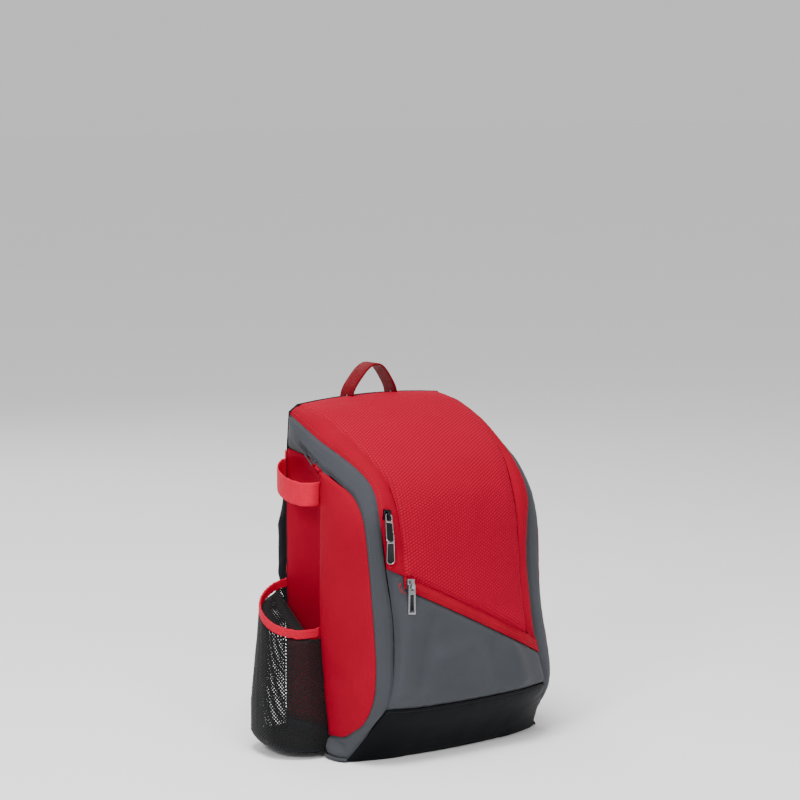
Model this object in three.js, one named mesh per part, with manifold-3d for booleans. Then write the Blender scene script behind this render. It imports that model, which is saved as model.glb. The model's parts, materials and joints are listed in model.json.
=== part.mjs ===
import * as THREE from "three";
import { mergeVertices } from "three/addons/utils/BufferGeometryUtils.js";
import Module from "manifold-3d";

// Baseball backpack: cloth panels round a hollow body, a bat pocket and a bat loop on each side.
// Millimetres. Up is +Z, the front faces -Y, and the origin is the middle of the floor face.

// Body
const HEIGHT = 405;
const HALF_WIDTH = 144;
const DEPTH = 205;
const BASE_DEPTH = 150;
const WALL = 1.8;
const SEAM_GAP = 0.36;
const CLEARANCE = 0.3;

// Pocket zip, as seen from the front
const POCKET_SEAM_LEFT = 244;
const POCKET_SEAM_RIGHT = 102;
const ZIP_TAPE_WIDTH = 13;
const ZIP_TAPE_START = 89;

// Bat pockets and loops
const NET_THICKNESS = 1.6;
const NET_FLOOR = 9;
const MOUTH_FRONT = 138;
const MOUTH_BACK = 182;
const POCKET_REACH = 57;
const BINDING_WIDTH = 11;
const BINDING_THICKNESS = 2.6;
const LOOP_REACH = 31;
const LOOP_WIDTH = 28;
const LOOP_THICKNESS = 2;
const LOOP_FRONT_DROP = 100;
const LOOP_BACK_DROP = 82;
const ROUND_ROOT = 0.5;

// Grab handle
const HANDLE_RISE = 35;
const HANDLE_SPAN = 66;
const HANDLE_SET_BACK = 10;
const HANDLE_WIDTH = 24;
const HANDLE_THICKNESS = 2.4;

// Shoulder straps
const STRAP_WIDTH = 62;
const STRAP_THICKNESS = 11;
const STRAP_REACH = 52;
const STRAP_SPREAD = 78;
const STRAP_DROP = 25;
const STRAP_END = 138;
const STRAP_ROUNDING = 0.4;
const WEBBING_WIDTH = 20;
const WEBBING_THICKNESS = 1.8;
const WEBBING_ROUNDING = 0.3;
const WEBBING_FOOT = 34;
const BUCKLE_WIDTH = 28;
const BUCKLE_LENGTH = 24;
const BUCKLE_THICKNESS = 4;
const BUCKLE_BAR = 4;
const BUCKLE_SIDE = 3;
const TAB_LENGTH = 27;
const TAB_WIDTH = 30;
const TAB_THICKNESS = 3;
const TAB_ABOVE_FLOOR = 7.5;
const TAB_INSET = 2;
const EDGE_FLAT = 0.2;

// Zip sliders and their pulls
const SLIDER_WIDTH = 9;
const SLIDER_LENGTH = 12;
const SLIDER_THICKNESS = 3.4;
const SLIDER_ROOT = 4;
const POCKET_SLIDER_OUT = 83;
const BRIDGE_WIDTH = 3;
const BRIDGE_LENGTH = 10;
const BRIDGE_WALL = 1.5;
const PULL_WIDTH = 10;
const PULL_LENGTH = 35;
const PULL_THICKNESS = 1.8;
const PULL_RAIL = 1.9;
const PULL_EYE = 9;
const PULL_PLAY = 0.7;

// How finely the forms are cut into faces
const ROWS_PER_SECTION = 2;
const SIDE_STEPS = 4;
const BAND_STEPS = 2;
const STRIP_STEPS = 1;
const LID_STEPS = 4;
const ROUND_STEPS = 16;
const HANDLE_STEPS = 24;
const ARC_STEPS = 8;
const HALVINGS = 30;
const MERGE_WITHIN = 1e-4;
const POINTS_PER_MM = 100;

// How the inner skin is kept from folding over itself, and how soon the flat back takes on the lid's arch
const MITRE_EASE = 0.03;
const EASING = 0.35;
const RIM_ZONE = 1;
const ARCH_POWER = 3;

// Finishes, as colours and shine
const FINISHES = {
  embossedRed: { color: 0xb61c2e, roughness: 0.75 },
  stripRed: { color: 0xb01d2f, roughness: 0.7 },
  grey: { color: 0x5a5c60, roughness: 0.7 },
  zipTape: { color: 0xa82434, roughness: 0.8 },
  coatedBlack: { color: 0x1b1c20, roughness: 0.5 },
  paddedBlack: { color: 0x1b1c20, roughness: 0.85 },
  net: { color: 0x1c1d1d, roughness: 0.9 },
  binding: { color: 0xb82134, roughness: 0.75 },
  redWebbing: { color: 0xc02036, roughness: 0.8 },
  handleRed: { color: 0x98222a, roughness: 0.8 },
  buckle: { color: 0x151517, roughness: 0.45 },
  slider: { color: 0x8d8f92, roughness: 0.3, metalness: 0.9 },
  pull: { color: 0x9a9da1, roughness: 0.25, metalness: 0.95 },
};

// One row per section, from the floor to the top of the back. Each place is [out, forward, up], in shares of
// HALF_WIDTH, DEPTH and HEIGHT. hollow is how far the side's back part is drawn in, as a share of the deepest.
const SECTIONS = [
  {
    middle: [0, 0.81, 0],
    crease: [0.66, 0.772, 0],
    zip: [0.985, 0.7, 0],
    band: [1.03, 0.65, 0],
    side: [1.015, 0.53, 0],
    back: [0.861, 0, 0],
    hollow: 0.5,
  },
  {
    middle: [0, 0.872, 0.054],
    crease: [0.645, 0.842, 0.055],
    zip: [0.92, 0.79, 0.062],
    band: [1, 0.69, 0.072],
    side: [0.997, 0.53, 0.064],
    back: [0.861, 0, 0.064],
    hollow: 0.55,
  },
  {
    middle: [0, 0.94, 0.109],
    crease: [0.635, 0.912, 0.112],
    zip: [0.875, 0.868, 0.119],
    band: [0.986, 0.81, 0.109],
    side: [0.984, 0.5, 0.125],
    back: [0.861, 0, 0.125],
    hollow: 0.65,
  },
  {
    middle: [0, 0.985, 0.156],
    crease: [0.625, 0.965, 0.158],
    zip: [0.84, 0.935, 0.163],
    band: [0.958, 0.868, 0.155],
    side: [0.974, 0.475, 0.178],
    back: [0.861, 0, 0.178],
    hollow: 0.78,
  },
  {
    middle: [0, 1, 0.217],
    crease: [0.612, 0.975, 0.22],
    zip: [0.784, 0.945, 0.222],
    band: [0.935, 0.9, 0.217],
    side: [0.972, 0.458, 0.235],
    back: [0.861, 0, 0.235],
    hollow: 0.9,
  },
  {
    middle: [0, 0.985, 0.321],
    crease: [0.604, 0.955, 0.323],
    zip: [0.736, 0.912, 0.328],
    band: [0.905, 0.878, 0.316],
    side: [0.986, 0.448, 0.33],
    back: [0.861, 0, 0.34],
    hollow: 1,
  },
  {
    middle: [0, 0.96, 0.425],
    crease: [0.6, 0.925, 0.425],
    zip: [0.724, 0.888, 0.422],
    band: [0.892, 0.845, 0.41],
    side: [0.993, 0.443, 0.43],
    back: [0.861, 0, 0.44],
    hollow: 1,
  },
  {
    middle: [0, 0.932, 0.535],
    crease: [0.604, 0.892, 0.535],
    zip: [0.735, 0.845, 0.535],
    band: [0.9, 0.825, 0.52],
    side: [0.99, 0.44, 0.545],
    back: [0.861, 0, 0.555],
    hollow: 1,
  },
  {
    middle: [0, 0.908, 0.63],
    crease: [0.612, 0.868, 0.63],
    zip: [0.764, 0.834, 0.64],
    band: [0.912, 0.805, 0.625],
    side: [0.986, 0.438, 0.655],
    back: [0.861, 0, 0.66],
    hollow: 1,
  },
  {
    middle: [0, 0.882, 0.71],
    crease: [0.612, 0.84, 0.71],
    zip: [0.785, 0.822, 0.711],
    band: [0.903, 0.762, 0.705],
    side: [0.98, 0.438, 0.735],
    back: [0.861, 0, 0.74],
    hollow: 1,
  },
  {
    middle: [0, 0.82, 0.788],
    crease: [0.625, 0.778, 0.783],
    zip: [0.772, 0.765, 0.783],
    band: [0.9, 0.683, 0.757],
    side: [0.972, 0.434, 0.775],
    back: [0.858, 0, 0.785],
    hollow: 0.9,
  },
  {
    middle: [0, 0.72, 0.852],
    crease: [0.663, 0.68, 0.844],
    zip: [0.799, 0.636, 0.835],
    band: [0.92, 0.6, 0.785],
    side: [0.965, 0.425, 0.803],
    back: [0.854, 0, 0.825],
    hollow: 0.6,
  },
  {
    middle: [0, 0.525, 0.918],
    crease: [0.712, 0.475, 0.912],
    zip: [0.842, 0.46, 0.877],
    band: [0.93, 0.485, 0.812],
    side: [0.952, 0.365, 0.835],
    back: [0.848, 0, 0.86],
    hollow: 0.22,
  },
  {
    middle: [0, 0.385, 0.952],
    crease: [0.726, 0.34, 0.943],
    zip: [0.868, 0.335, 0.904],
    band: [0.917, 0.36, 0.858],
    side: [0.915, 0.22, 0.876],
    back: [0.84, 0, 0.9],
    hollow: 0.04,
  },
  {
    middle: [0, 0.2, 0.988],
    crease: [0.743, 0.18, 0.974],
    zip: [0.862, 0.17, 0.938],
    band: [0.877, 0.145, 0.923],
    side: [0.868, 0.07, 0.928],
    back: [0.833, 0, 0.937],
    hollow: 0,
  },
  {
    middle: [0, 0, 1],
    crease: [0.74, 0, 0.986],
    zip: [0.826, 0, 0.966],
    band: [0.826, 0, 0.966],
    side: [0.826, 0, 0.966],
    back: [0.826, 0, 0.966],
    hollow: 0,
  },
];
const BASE_TOP_SECTION = 3;
const SIDE_LOW_SECTION = 1;
const SIDE_TOP_SECTION = 12;

// How the cloth runs between two seams: along it, and out from the straight line, in shares of its length
const SIDE_FULLNESS = 0.05;
const BAND_FULLNESS = 0.05;
const HOLLOW_SHAPE = [
  { along: 0.08, inward: 0.125 },
  { along: 0.22, inward: 0.22 },
  { along: 0.4, inward: 0.25 },
  { along: 0.58, inward: 0.19 },
  { along: 0.78, inward: 0.07 },
];

// The round of a bat pocket or loop, from the side seam to the back edge. out is a share of its reach.
const ROUND_SHAPE = [
  { along: 0, out: 0 },
  { along: -0.03, out: 0.3 },
  { along: 0.02, out: 0.62 },
  { along: 0.16, out: 0.91 },
  { along: 0.36, out: 1 },
  { along: 0.58, out: 0.9 },
  { along: 0.79, out: 0.62 },
  { along: 0.94, out: 0.27 },
  { along: 1, out: 0 },
];

// The pocket bags out toward its floor: full is how far its round goes from ROUND_SHAPE to FULL_SHAPE
const FULL_SHAPE = [
  { along: 0, out: 0 },
  { along: -0.02, out: 0.32 },
  { along: 0.04, out: 0.66 },
  { along: 0.18, out: 0.93 },
  { along: 0.38, out: 1 },
  { along: 0.62, out: 0.99 },
  { along: 0.84, out: 0.84 },
  { along: 0.98, out: 0.44 },
  { along: 1, out: 0 },
];
const POCKET_LEVELS = [
  { up: 0, reach: 0.95, full: 0.8 },
  { up: 0.07, reach: 1.1, full: 1 },
  { up: 0.3, reach: 1.12, full: 0.9 },
  { up: 0.65, reach: 1.07, full: 0.55 },
  { up: 1, reach: 1, full: 0.1 },
];

// The handle's line: across in shares of HANDLE_SPAN, up in shares of HANDLE_RISE
const HANDLE_LINE = [
  { across: -0.52, up: -0.4 },
  { across: -0.48, up: 0.1 },
  { across: -0.33, up: 0.5 },
  { across: -0.1, up: 0.91 },
  { across: 0.06, up: 1 },
  { across: 0.2, up: 0.91 },
  { across: 0.38, up: 0.5 },
  { across: 0.5, up: 0.08 },
  { across: 0.53, up: -0.4 },
];

// The shoulder strap's line: out in shares of STRAP_SPREAD, behind in shares of STRAP_REACH, down from
// STRAP_DROP under the top to STRAP_END, and its width and thickness as shares
const STRAP_LINE = [
  { out: 0.55, behind: -0.1, down: 0, wide: 0.72, thick: 0.45 },
  { out: 0.57, behind: 0.3, down: 0.03, wide: 0.8, thick: 0.8 },
  { out: 0.63, behind: 0.66, down: 0.12, wide: 0.92, thick: 1 },
  { out: 0.76, behind: 0.92, down: 0.32, wide: 1, thick: 1 },
  { out: 0.9, behind: 1, down: 0.56, wide: 1, thick: 1 },
  { out: 0.98, behind: 0.86, down: 0.8, wide: 0.9, thick: 1 },
  { out: 1, behind: 0.66, down: 0.96, wide: 0.66, thick: 0.9 },
  { out: 1, behind: 0.6, down: 1, wide: 0.5, thick: 0.5 },
];

// Where each slider sits: on the main zip by its section of the skin and its place across, in shares from the
// zip to the crease, or on the pocket's tape. turn is how far it is pulled round on the cloth by its hanging
// pull, and lift how far the pull stands off, both in degrees.
const SLIDERS = [
  { name: "main_slider_upper", pull: "main_pull_upper", section: 9, toCrease: 0.32, turn: -15, lift: 16 },
  { name: "main_slider_lower", pull: "main_pull_lower", section: 8.25, toCrease: 0.32, turn: -7, lift: 0 },
  { name: "pocket_slider", pull: "pocket_pull", onTape: true, turn: -6, lift: 0 },
];

// How far from a slider the slope of the cloth is read: in sections on the main zip, and in mm on the tape
const SLOPE_SECTIONS = 0.3;
const SLOPE_ABOVE = 8;
const SLOPE_BELOW = 14;
const SLOPE_BESIDE = 8;

const wasm = await Module();
wasm.setup();

const backY = BASE_DEPTH / 2;
const group = new THREE.Group();
group.name = "bat_backpack";

// Solids and meshes
function solidOf(geometry) {
  const plain = geometry.index ? geometry.toNonIndexed() : geometry.clone();
  plain.deleteAttribute("normal");
  plain.deleteAttribute("uv");
  const merged = mergeVertices(plain, MERGE_WITHIN);
  return new wasm.Manifold(
    new wasm.Mesh({
      numProp: 3,
      vertProperties: merged.attributes.position.array,
      triVerts: new Uint32Array(merged.index.array),
    }),
  );
}

function solidFromFaces(points, faces) {
  const geometry = new THREE.BufferGeometry();
  const corners = faces.flat().map((id) => points[id]);
  geometry.setAttribute(
    "position",
    new THREE.Float32BufferAttribute(corners.flatMap((p) => [p.x, p.y, p.z]), 3),
  );
  return solidOf(geometry);
}

function largest(solid) {
  return solid.decompose().sort((a, b) => b.volume() - a.volume())[0];
}

function addPiece(name, solid, finish, parent = group) {
  const data = solid.getMesh();
  const positions = new Float32Array(data.numVert * 3);
  for (let i = 0; i < data.numVert; i += 1) {
    const start = i * data.numProp;
    positions.set(data.vertProperties.subarray(start, start + 3), i * 3);
  }
  const geometry = new THREE.BufferGeometry();
  geometry.setAttribute("position", new THREE.BufferAttribute(positions, 3));
  geometry.setIndex(new THREE.BufferAttribute(data.triVerts, 1));
  geometry.computeVertexNormals();
  const mesh = new THREE.Mesh(geometry, new THREE.MeshStandardMaterial(finish));
  mesh.name = name;
  parent.add(mesh);
  return mesh;
}

function boxSolid(width, depth, height, centre, turn = new THREE.Quaternion()) {
  const geometry = new THREE.BoxGeometry(width, depth, height);
  geometry.applyMatrix4(new THREE.Matrix4().compose(centre, turn, new THREE.Vector3(1, 1, 1)));
  return solidOf(geometry);
}

// A closed solid through rings of as many points each, with flat ends fanned from their middles
function loft(rings) {
  const count = rings[0].length;
  const points = rings.flat();
  const faces = [];
  for (let r = 0; r + 1 < rings.length; r += 1) {
    for (let i = 0; i < count; i += 1) {
      const next = (i + 1) % count;
      const a = r * count + i;
      const b = r * count + next;
      faces.push([a, b, b + count], [a, b + count, a + count]);
    }
  }
  const last = (rings.length - 1) * count;
  const middleOf = (ring) =>
    ring.reduce((sum, p) => sum.add(p), new THREE.Vector3()).divideScalar(count);
  const low = points.push(middleOf(rings[0])) - 1;
  const high = points.push(middleOf(rings[rings.length - 1])) - 1;
  for (let i = 0; i < count; i += 1) {
    const next = (i + 1) % count;
    faces.push([low, next, i], [high, last + i, last + next]);
  }
  const solid = solidFromFaces(points, faces);
  return solid.volume() < 0 ? solidFromFaces(points, faces.map(([a, b, c]) => [a, c, b])) : solid;
}

// The vector whose reach along each direction is one, as at a mitred corner
function mitre(directions) {
  const m = [0, 0, 0, 0, 0, 0, 0, 0, 0];
  const sum = new THREE.Vector3();
  for (const d of directions) {
    const v = d.toArray();
    sum.add(d);
    for (let r = 0; r < 3; r += 1) {
      for (let c = 0; c < 3; c += 1) m[r * 3 + c] += v[r] * v[c];
    }
  }
  const ease = MITRE_EASE * directions.length;
  m[0] += ease;
  m[4] += ease;
  m[8] += ease;
  const spread = new THREE.Matrix3().set(...m).invert();
  return sum.multiplyScalar(1 + MITRE_EASE).applyMatrix3(spread);
}

// The seams of one side, as curves through the sections
function seamCurve(key, side) {
  const places = SECTIONS.map(({ [key]: [out, forward, up] }) =>
    new THREE.Vector3(side * out * HALF_WIDTH, backY - forward * DEPTH, up * HEIGHT));
  const curve = new THREE.CatmullRomCurve3(places, false, "catmullrom", 0.5);
  return (section) => curve.getPoint(section / (SECTIONS.length - 1));
}

const SEAMS = { left: {}, right: {} };
for (const key of ["middle", "crease", "zip", "band", "side", "back"]) {
  SEAMS.left[key] = seamCurve(key, -1);
  SEAMS.right[key] = seamCurve(key, 1);
}

function hollowAt(section) {
  const low = Math.min(Math.floor(section), SECTIONS.length - 2);
  return THREE.MathUtils.lerp(SECTIONS[low].hollow, SECTIONS[low + 1].hollow, section - low);
}

// A place on a seam at a given height
function seamAtHeight(seam, height) {
  let low = 0;
  let high = SECTIONS.length - 1;
  for (let i = 0; i < HALVINGS; i += 1) {
    const half = (low + high) / 2;
    if (seam(half).z < height) low = half;
    else high = half;
  }
  return seam(low);
}

// Points from one seam to the next, bowed out from the straight line on the outer side
function bowed(from, to, steps, fullness, side) {
  const outward = new THREE.Vector3(to.y - from.y, from.x - to.x, 0).normalize();
  if (outward.x * side < 0) outward.negate();
  const length = from.distanceTo(to);
  return Array.from({ length: steps }, (_, i) => {
    const t = i / steps;
    return from.clone().lerp(to, t).addScaledVector(outward, length * fullness * 4 * t * (1 - t));
  });
}

function hollowPoints(from, to, depth, side) {
  const inward = new THREE.Vector3(from.y - to.y, to.x - from.x, 0).normalize();
  if (inward.x * side > 0) inward.negate();
  const length = from.distanceTo(to);
  return [
    from.clone(),
    ...HOLLOW_SHAPE.map(({ along, inward: share }) =>
      from.clone().lerp(to, along).addScaledVector(inward, share * depth * length)),
  ];
}

// One level of the body, in two lines: each side from the zip to the back edge, and the front between the zips
function sideLine(section, name) {
  const seams = SEAMS[name];
  const side = name === "left" ? -1 : 1;
  const at = (key) => seams[key](section);
  return [
    ...bowed(at("zip"), at("band"), BAND_STEPS, BAND_FULLNESS, side),
    ...bowed(at("band"), at("side"), SIDE_STEPS, SIDE_FULLNESS, side),
    ...hollowPoints(at("side"), at("back"), hollowAt(section), side),
    at("back"),
  ];
}

function frontPoint(section, across) {
  const left = SEAMS.left.crease(section);
  const right = SEAMS.right.crease(section);
  const crown = SEAMS.left.middle(section).sub(left.clone().add(right).multiplyScalar(0.5));
  return left.clone().lerp(right, (1 + across) / 2).addScaledVector(crown, 1 - across * across);
}

function frontLine(section) {
  const points = [];
  for (let i = 0; i <= LID_STEPS * 2; i += 1) points.push(frontPoint(section, i / LID_STEPS - 1));
  const strip = (name) => bowed(SEAMS[name].crease(section), SEAMS[name].zip(section), STRIP_STEPS, 0, 1);
  return [
    SEAMS.left.zip(section),
    ...strip("left").slice(1).reverse(),
    ...points,
    ...strip("right").slice(1),
    SEAMS.right.zip(section),
  ];
}

// The back runs flat between the two back edges, with as many points as the front
function backLine(section, front, top) {
  const left = SEAMS.left.back(section);
  const right = SEAMS.right.back(section);
  return front.map((_, i) => {
    const share = (top[i].x - top[0].x) / (top[top.length - 1].x - top[0].x);
    const arch = (top[i].z - top[0].z) * (section / (SECTIONS.length - 1)) ** ARCH_POWER;
    return left.clone().lerp(right, share).add(new THREE.Vector3(0, 0, arch));
  });
}

// The skin as numbered points, and as faces that carry the name of their panel
const skinPoints = [];
const skinIds = new Map();
function idOf(point) {
  const key = [point.x, point.y, point.z].map((v) => Math.round(v * POINTS_PER_MM)).join(",");
  if (!skinIds.has(key)) skinIds.set(key, skinPoints.push(point) - 1);
  return skinIds.get(key);
}

const skinFaces = [];
function addFace(panel, ids, outward) {
  const [a, b, c] = ids;
  if (a === b || b === c || a === c) return;
  const normal = new THREE.Vector3().crossVectors(
    skinPoints[b].clone().sub(skinPoints[a]),
    skinPoints[c].clone().sub(skinPoints[a]),
  );
  if (normal.length() < 1e-6) return;
  skinFaces.push({ panel, ids: outward ? ids : [a, c, b] });
}

function addStrip(low, high, panelAt, outward) {
  for (let i = 0; i + 1 < low.length; i += 1) {
    const panel = panelAt(i);
    const [a, b, c, d] = [low[i], low[i + 1], high[i + 1], high[i]].map(idOf);
    addFace(panel, [a, b, c], outward);
    addFace(panel, [a, c, d], outward);
  }
}

const lastSection = SECTIONS.length - 1;
const rowCount = lastSection * ROWS_PER_SECTION;
const topFront = frontLine(lastSection);
const frontCells = topFront.length - 1;

function frontPanelAt(row, cell) {
  if (row < BASE_TOP_SECTION * ROWS_PER_SECTION) return "base";
  if (cell < STRIP_STEPS) return "strip_left";
  if (cell >= frontCells - STRIP_STEPS) return "strip_right";
  return "front";
}

function sidePanelAt(row, cell, name) {
  const section = row / ROWS_PER_SECTION;
  const onSide = section >= SIDE_LOW_SECTION && section < SIDE_TOP_SECTION;
  if (!onSide || cell < BAND_STEPS) return "band_" + name;
  return (cell < BAND_STEPS + SIDE_STEPS ? "side_" : "channel_") + name;
}

for (let row = 0; row < rowCount; row += 1) {
  const low = row / ROWS_PER_SECTION;
  const high = (row + 1) / ROWS_PER_SECTION;
  const frontLow = frontLine(low);
  const frontHigh = frontLine(high);
  addStrip(frontLow, frontHigh, (cell) => frontPanelAt(row, cell), true);
  for (const name of ["left", "right"]) {
    const panelAt = (cell) => sidePanelAt(row, cell, name);
    addStrip(sideLine(low, name), sideLine(high, name), panelAt, name === "right");
  }
  const backLow = backLine(low, frontLow, topFront);
  const backHigh = backLine(high, frontHigh, topFront);
  addStrip(backLow, backHigh, () => "back", false);
}

// The floor is flat, inside the lowest loop
const floorLoop = [
  ...frontLine(0),
  ...sideLine(0, "right").slice(1),
  ...backLine(0, topFront, topFront).slice(1, -1).reverse(),
  ...sideLine(0, "left").slice(1).reverse(),
];
const floorShape = floorLoop.map((p) => new THREE.Vector2(p.x, p.y));
for (const [a, b, c] of THREE.ShapeUtils.triangulateShape(floorShape, [])) {
  const ids = [a, b, c].map((i) => idOf(floorLoop[i]));
  const [p, q, r] = [a, b, c].map((i) => floorShape[i]);
  const turn = (q.x - p.x) * (r.y - p.y) - (q.y - p.y) * (r.x - p.x);
  addFace("base", ids, turn < 0);
}

// Which way is out at each point of the skin
const normalsAt = skinPoints.map(() => []);
for (const face of skinFaces) {
  const [a, b, c] = face.ids.map((id) => skinPoints[id]);
  face.normal = new THREE.Vector3().crossVectors(b.clone().sub(a), c.clone().sub(a)).normalize();
  for (const id of face.ids) normalsAt[id].push(face.normal);
}
const sharpOutAt = normalsAt.map(mitre);

// Eased toward its neighbours, so that the inner skin doesn't fold over itself at tight bends
const neighboursAt = skinPoints.map(() => new Set());
for (const { ids } of skinFaces) {
  for (const id of ids) ids.filter((other) => other !== id).forEach((other) => neighboursAt[id].add(other));
}
const outAt = sharpOutAt.map((out, id) => {
  const { y, z } = skinPoints[id];
  if (z < RIM_ZONE || y > backY - RIM_ZONE) return out;
  const around = [...neighboursAt[id]].filter((other) => skinPoints[other].z > RIM_ZONE);
  const mean = around
    .reduce((sum, other) => sum.add(sharpOutAt[other]), new THREE.Vector3())
    .divideScalar(around.length);
  return out.clone().lerp(mean, EASING);
});

function panelSolid(belongs) {
  const faces = skinFaces.filter(({ panel }) => belongs(panel));
  const edges = new Map();
  for (const face of faces) {
    face.ids.forEach((a, i) => {
      const b = face.ids[(i + 1) % 3];
      if (edges.has(b + "," + a)) edges.delete(b + "," + a);
      else edges.set(a + "," + b, { a, b, normal: face.normal });
    });
  }
  const inwardAt = new Map();
  for (const { a, b, normal } of edges.values()) {
    const along = skinPoints[b].clone().sub(skinPoints[a]).normalize();
    const inward = new THREE.Vector3().crossVectors(normal, along);
    for (const id of [a, b]) inwardAt.set(id, [...(inwardAt.get(id) ?? []), inward]);
  }
  const used = [...new Set(faces.flatMap(({ ids }) => ids))];
  const index = new Map(used.map((id, i) => [id, i]));
  const shifts = used.map((id) =>
    inwardAt.has(id) ? mitre(inwardAt.get(id)).multiplyScalar(SEAM_GAP / 2) : new THREE.Vector3());
  const outer = used.map((id, i) => skinPoints[id].clone().add(shifts[i]));
  outer.forEach((point) => point.setZ(Math.max(point.z, 0)));
  const inner = used.map((id, i) => outer[i].clone().addScaledVector(outAt[id], -WALL));
  const n = used.length;
  const triangles = faces.flatMap(({ ids }) => {
    const [a, b, c] = ids.map((id) => index.get(id));
    return [[a, b, c], [n + a, n + c, n + b]];
  });
  for (const edge of edges.values()) {
    const a = index.get(edge.a);
    const b = index.get(edge.b);
    // Both panels at a seam split its wall along the same diagonal
    if (edge.a > edge.b) triangles.push([b, a, n + a], [b, n + a, n + b]);
    else triangles.push([b, a, n + b], [a, n + a, n + b]);
  }
  return solidFromFaces([...outer, ...inner], triangles);
}

// The whole body, grown by the clearance: what is sewn onto it is trimmed by this
const grown = skinPoints.map((p, id) => p.clone().addScaledVector(outAt[id], CLEARANCE));
const envelope = solidFromFaces(grown, skinFaces.map(({ ids }) => ids));
const onBody = (solid) => largest(solid.subtract(envelope));

// The pocket seam is one straight cut across the front
const seamLeft = new THREE.Vector3(-HALF_WIDTH, 0, POCKET_SEAM_LEFT);
const seamRight = new THREE.Vector3(HALF_WIDTH, 0, POCKET_SEAM_RIGHT);
const seamAlong = seamRight.clone().sub(seamLeft).normalize();
const seamUp = new THREE.Vector3().crossVectors(new THREE.Vector3(0, 1, 0), seamAlong).negate();
const seamTurn = new THREE.Quaternion().setFromUnitVectors(new THREE.Vector3(1, 0, 0), seamAlong);
const big = HEIGHT * 2;

// A block whose edge lies at a height across the seam, and which reaches up or down from there
function beyondSeam(offset, upward) {
  const centre = seamLeft.clone().add(seamRight).multiplyScalar(0.5);
  centre.addScaledVector(seamUp, offset + (upward ? big / 2 : -big / 2));
  return boxSolid(big, big, big, centre, seamTurn);
}

const tapeStart = boxSolid(big, big, big, new THREE.Vector3(big / 2 - ZIP_TAPE_START, 0, HEIGHT / 2));
const aboveSeam = beyondSeam(SEAM_GAP / 2, true);
const belowSeam = beyondSeam(-SEAM_GAP / 2, false);
const belowTape = beyondSeam(-ZIP_TAPE_WIDTH - SEAM_GAP / 2, false);
const tapeBand = belowSeam.intersect(beyondSeam(-ZIP_TAPE_WIDTH + SEAM_GAP / 2, true)).intersect(tapeStart);
const wholeFront = panelSolid((panel) => ["strip_left", "front", "strip_right"].includes(panel));
const gapCentre = new THREE.Vector3(big / 2 - ZIP_TAPE_START - SEAM_GAP, 0, HEIGHT / 2);
const tapeGap = beyondSeam(-ZIP_TAPE_WIDTH - SEAM_GAP / 2, true)
  .intersect(boxSolid(big, big, big, gapCentre));

const one = (wanted) => panelSolid((panel) => panel === wanted);
addPiece("lid_panel", one("front").intersect(aboveSeam), FINISHES.embossedRed);
addPiece("front_pocket", wholeFront.intersect(belowSeam).subtract(tapeGap), FINISHES.grey);
addPiece("pocket_zip", wholeFront.intersect(tapeBand), FINISHES.zipTape);
addPiece("base_panel", one("base"), FINISHES.coatedBlack);
addPiece("back_panel", one("back"), FINISHES.paddedBlack);
for (const name of ["left", "right"]) {
  addPiece("zip_strip_" + name, one("strip_" + name).intersect(aboveSeam), FINISHES.stripRed);
  addPiece("side_band_" + name, one("band_" + name), FINISHES.grey);
  addPiece("side_panel_" + name, one("side_" + name), FINISHES.embossedRed);
  addPiece("channel_panel_" + name, one("channel_" + name), FINISHES.embossedRed);
}

// Bat pockets and loops: a round from the side seam to the back edge, lower at the front than at the back
function roundLine(name, { front: frontHeight, back: backHeight, reach, full = 0 }, offset) {
  const side = name === "left" ? -1 : 1;
  const from = seamAtHeight(SEAMS[name].side, frontHeight);
  const to = seamAtHeight(SEAMS[name].back, backHeight);
  const flat = new THREE.Vector3(to.x - from.x, to.y - from.y, 0);
  const outward = new THREE.Vector3(flat.y, -flat.x, 0).normalize();
  if (outward.x * side < 0) outward.negate();
  const knots = ROUND_SHAPE.map((round, i) => {
    const along = THREE.MathUtils.lerp(round.along, FULL_SHAPE[i].along, full);
    const out = THREE.MathUtils.lerp(round.out, FULL_SHAPE[i].out, full);
    return from.clone().lerp(to, along).addScaledVector(outward, out * reach);
  });
  const curve = new THREE.CatmullRomCurve3(knots, false, "centripetal");
  const points = [];
  for (let i = 0; i <= ROUND_STEPS; i += 1) {
    const t = i / ROUND_STEPS;
    const point = curve.getPoint(t);
    const tangent = curve.getTangent(t);
    const normal = new THREE.Vector3(tangent.y, -tangent.x, 0).normalize().multiplyScalar(side);
    points.push(point.addScaledVector(normal, -offset));
  }
  const deep = flat.length() * ROUND_ROOT;
  const first = points[0].clone().addScaledVector(outward, -deep);
  const last = points[ROUND_STEPS].clone().addScaledVector(outward, -deep);
  return [first, ...points, last];
}

function roundBand(name, levels, offset) {
  return loft(levels.map((level) => roundLine(name, level, offset)));
}

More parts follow.
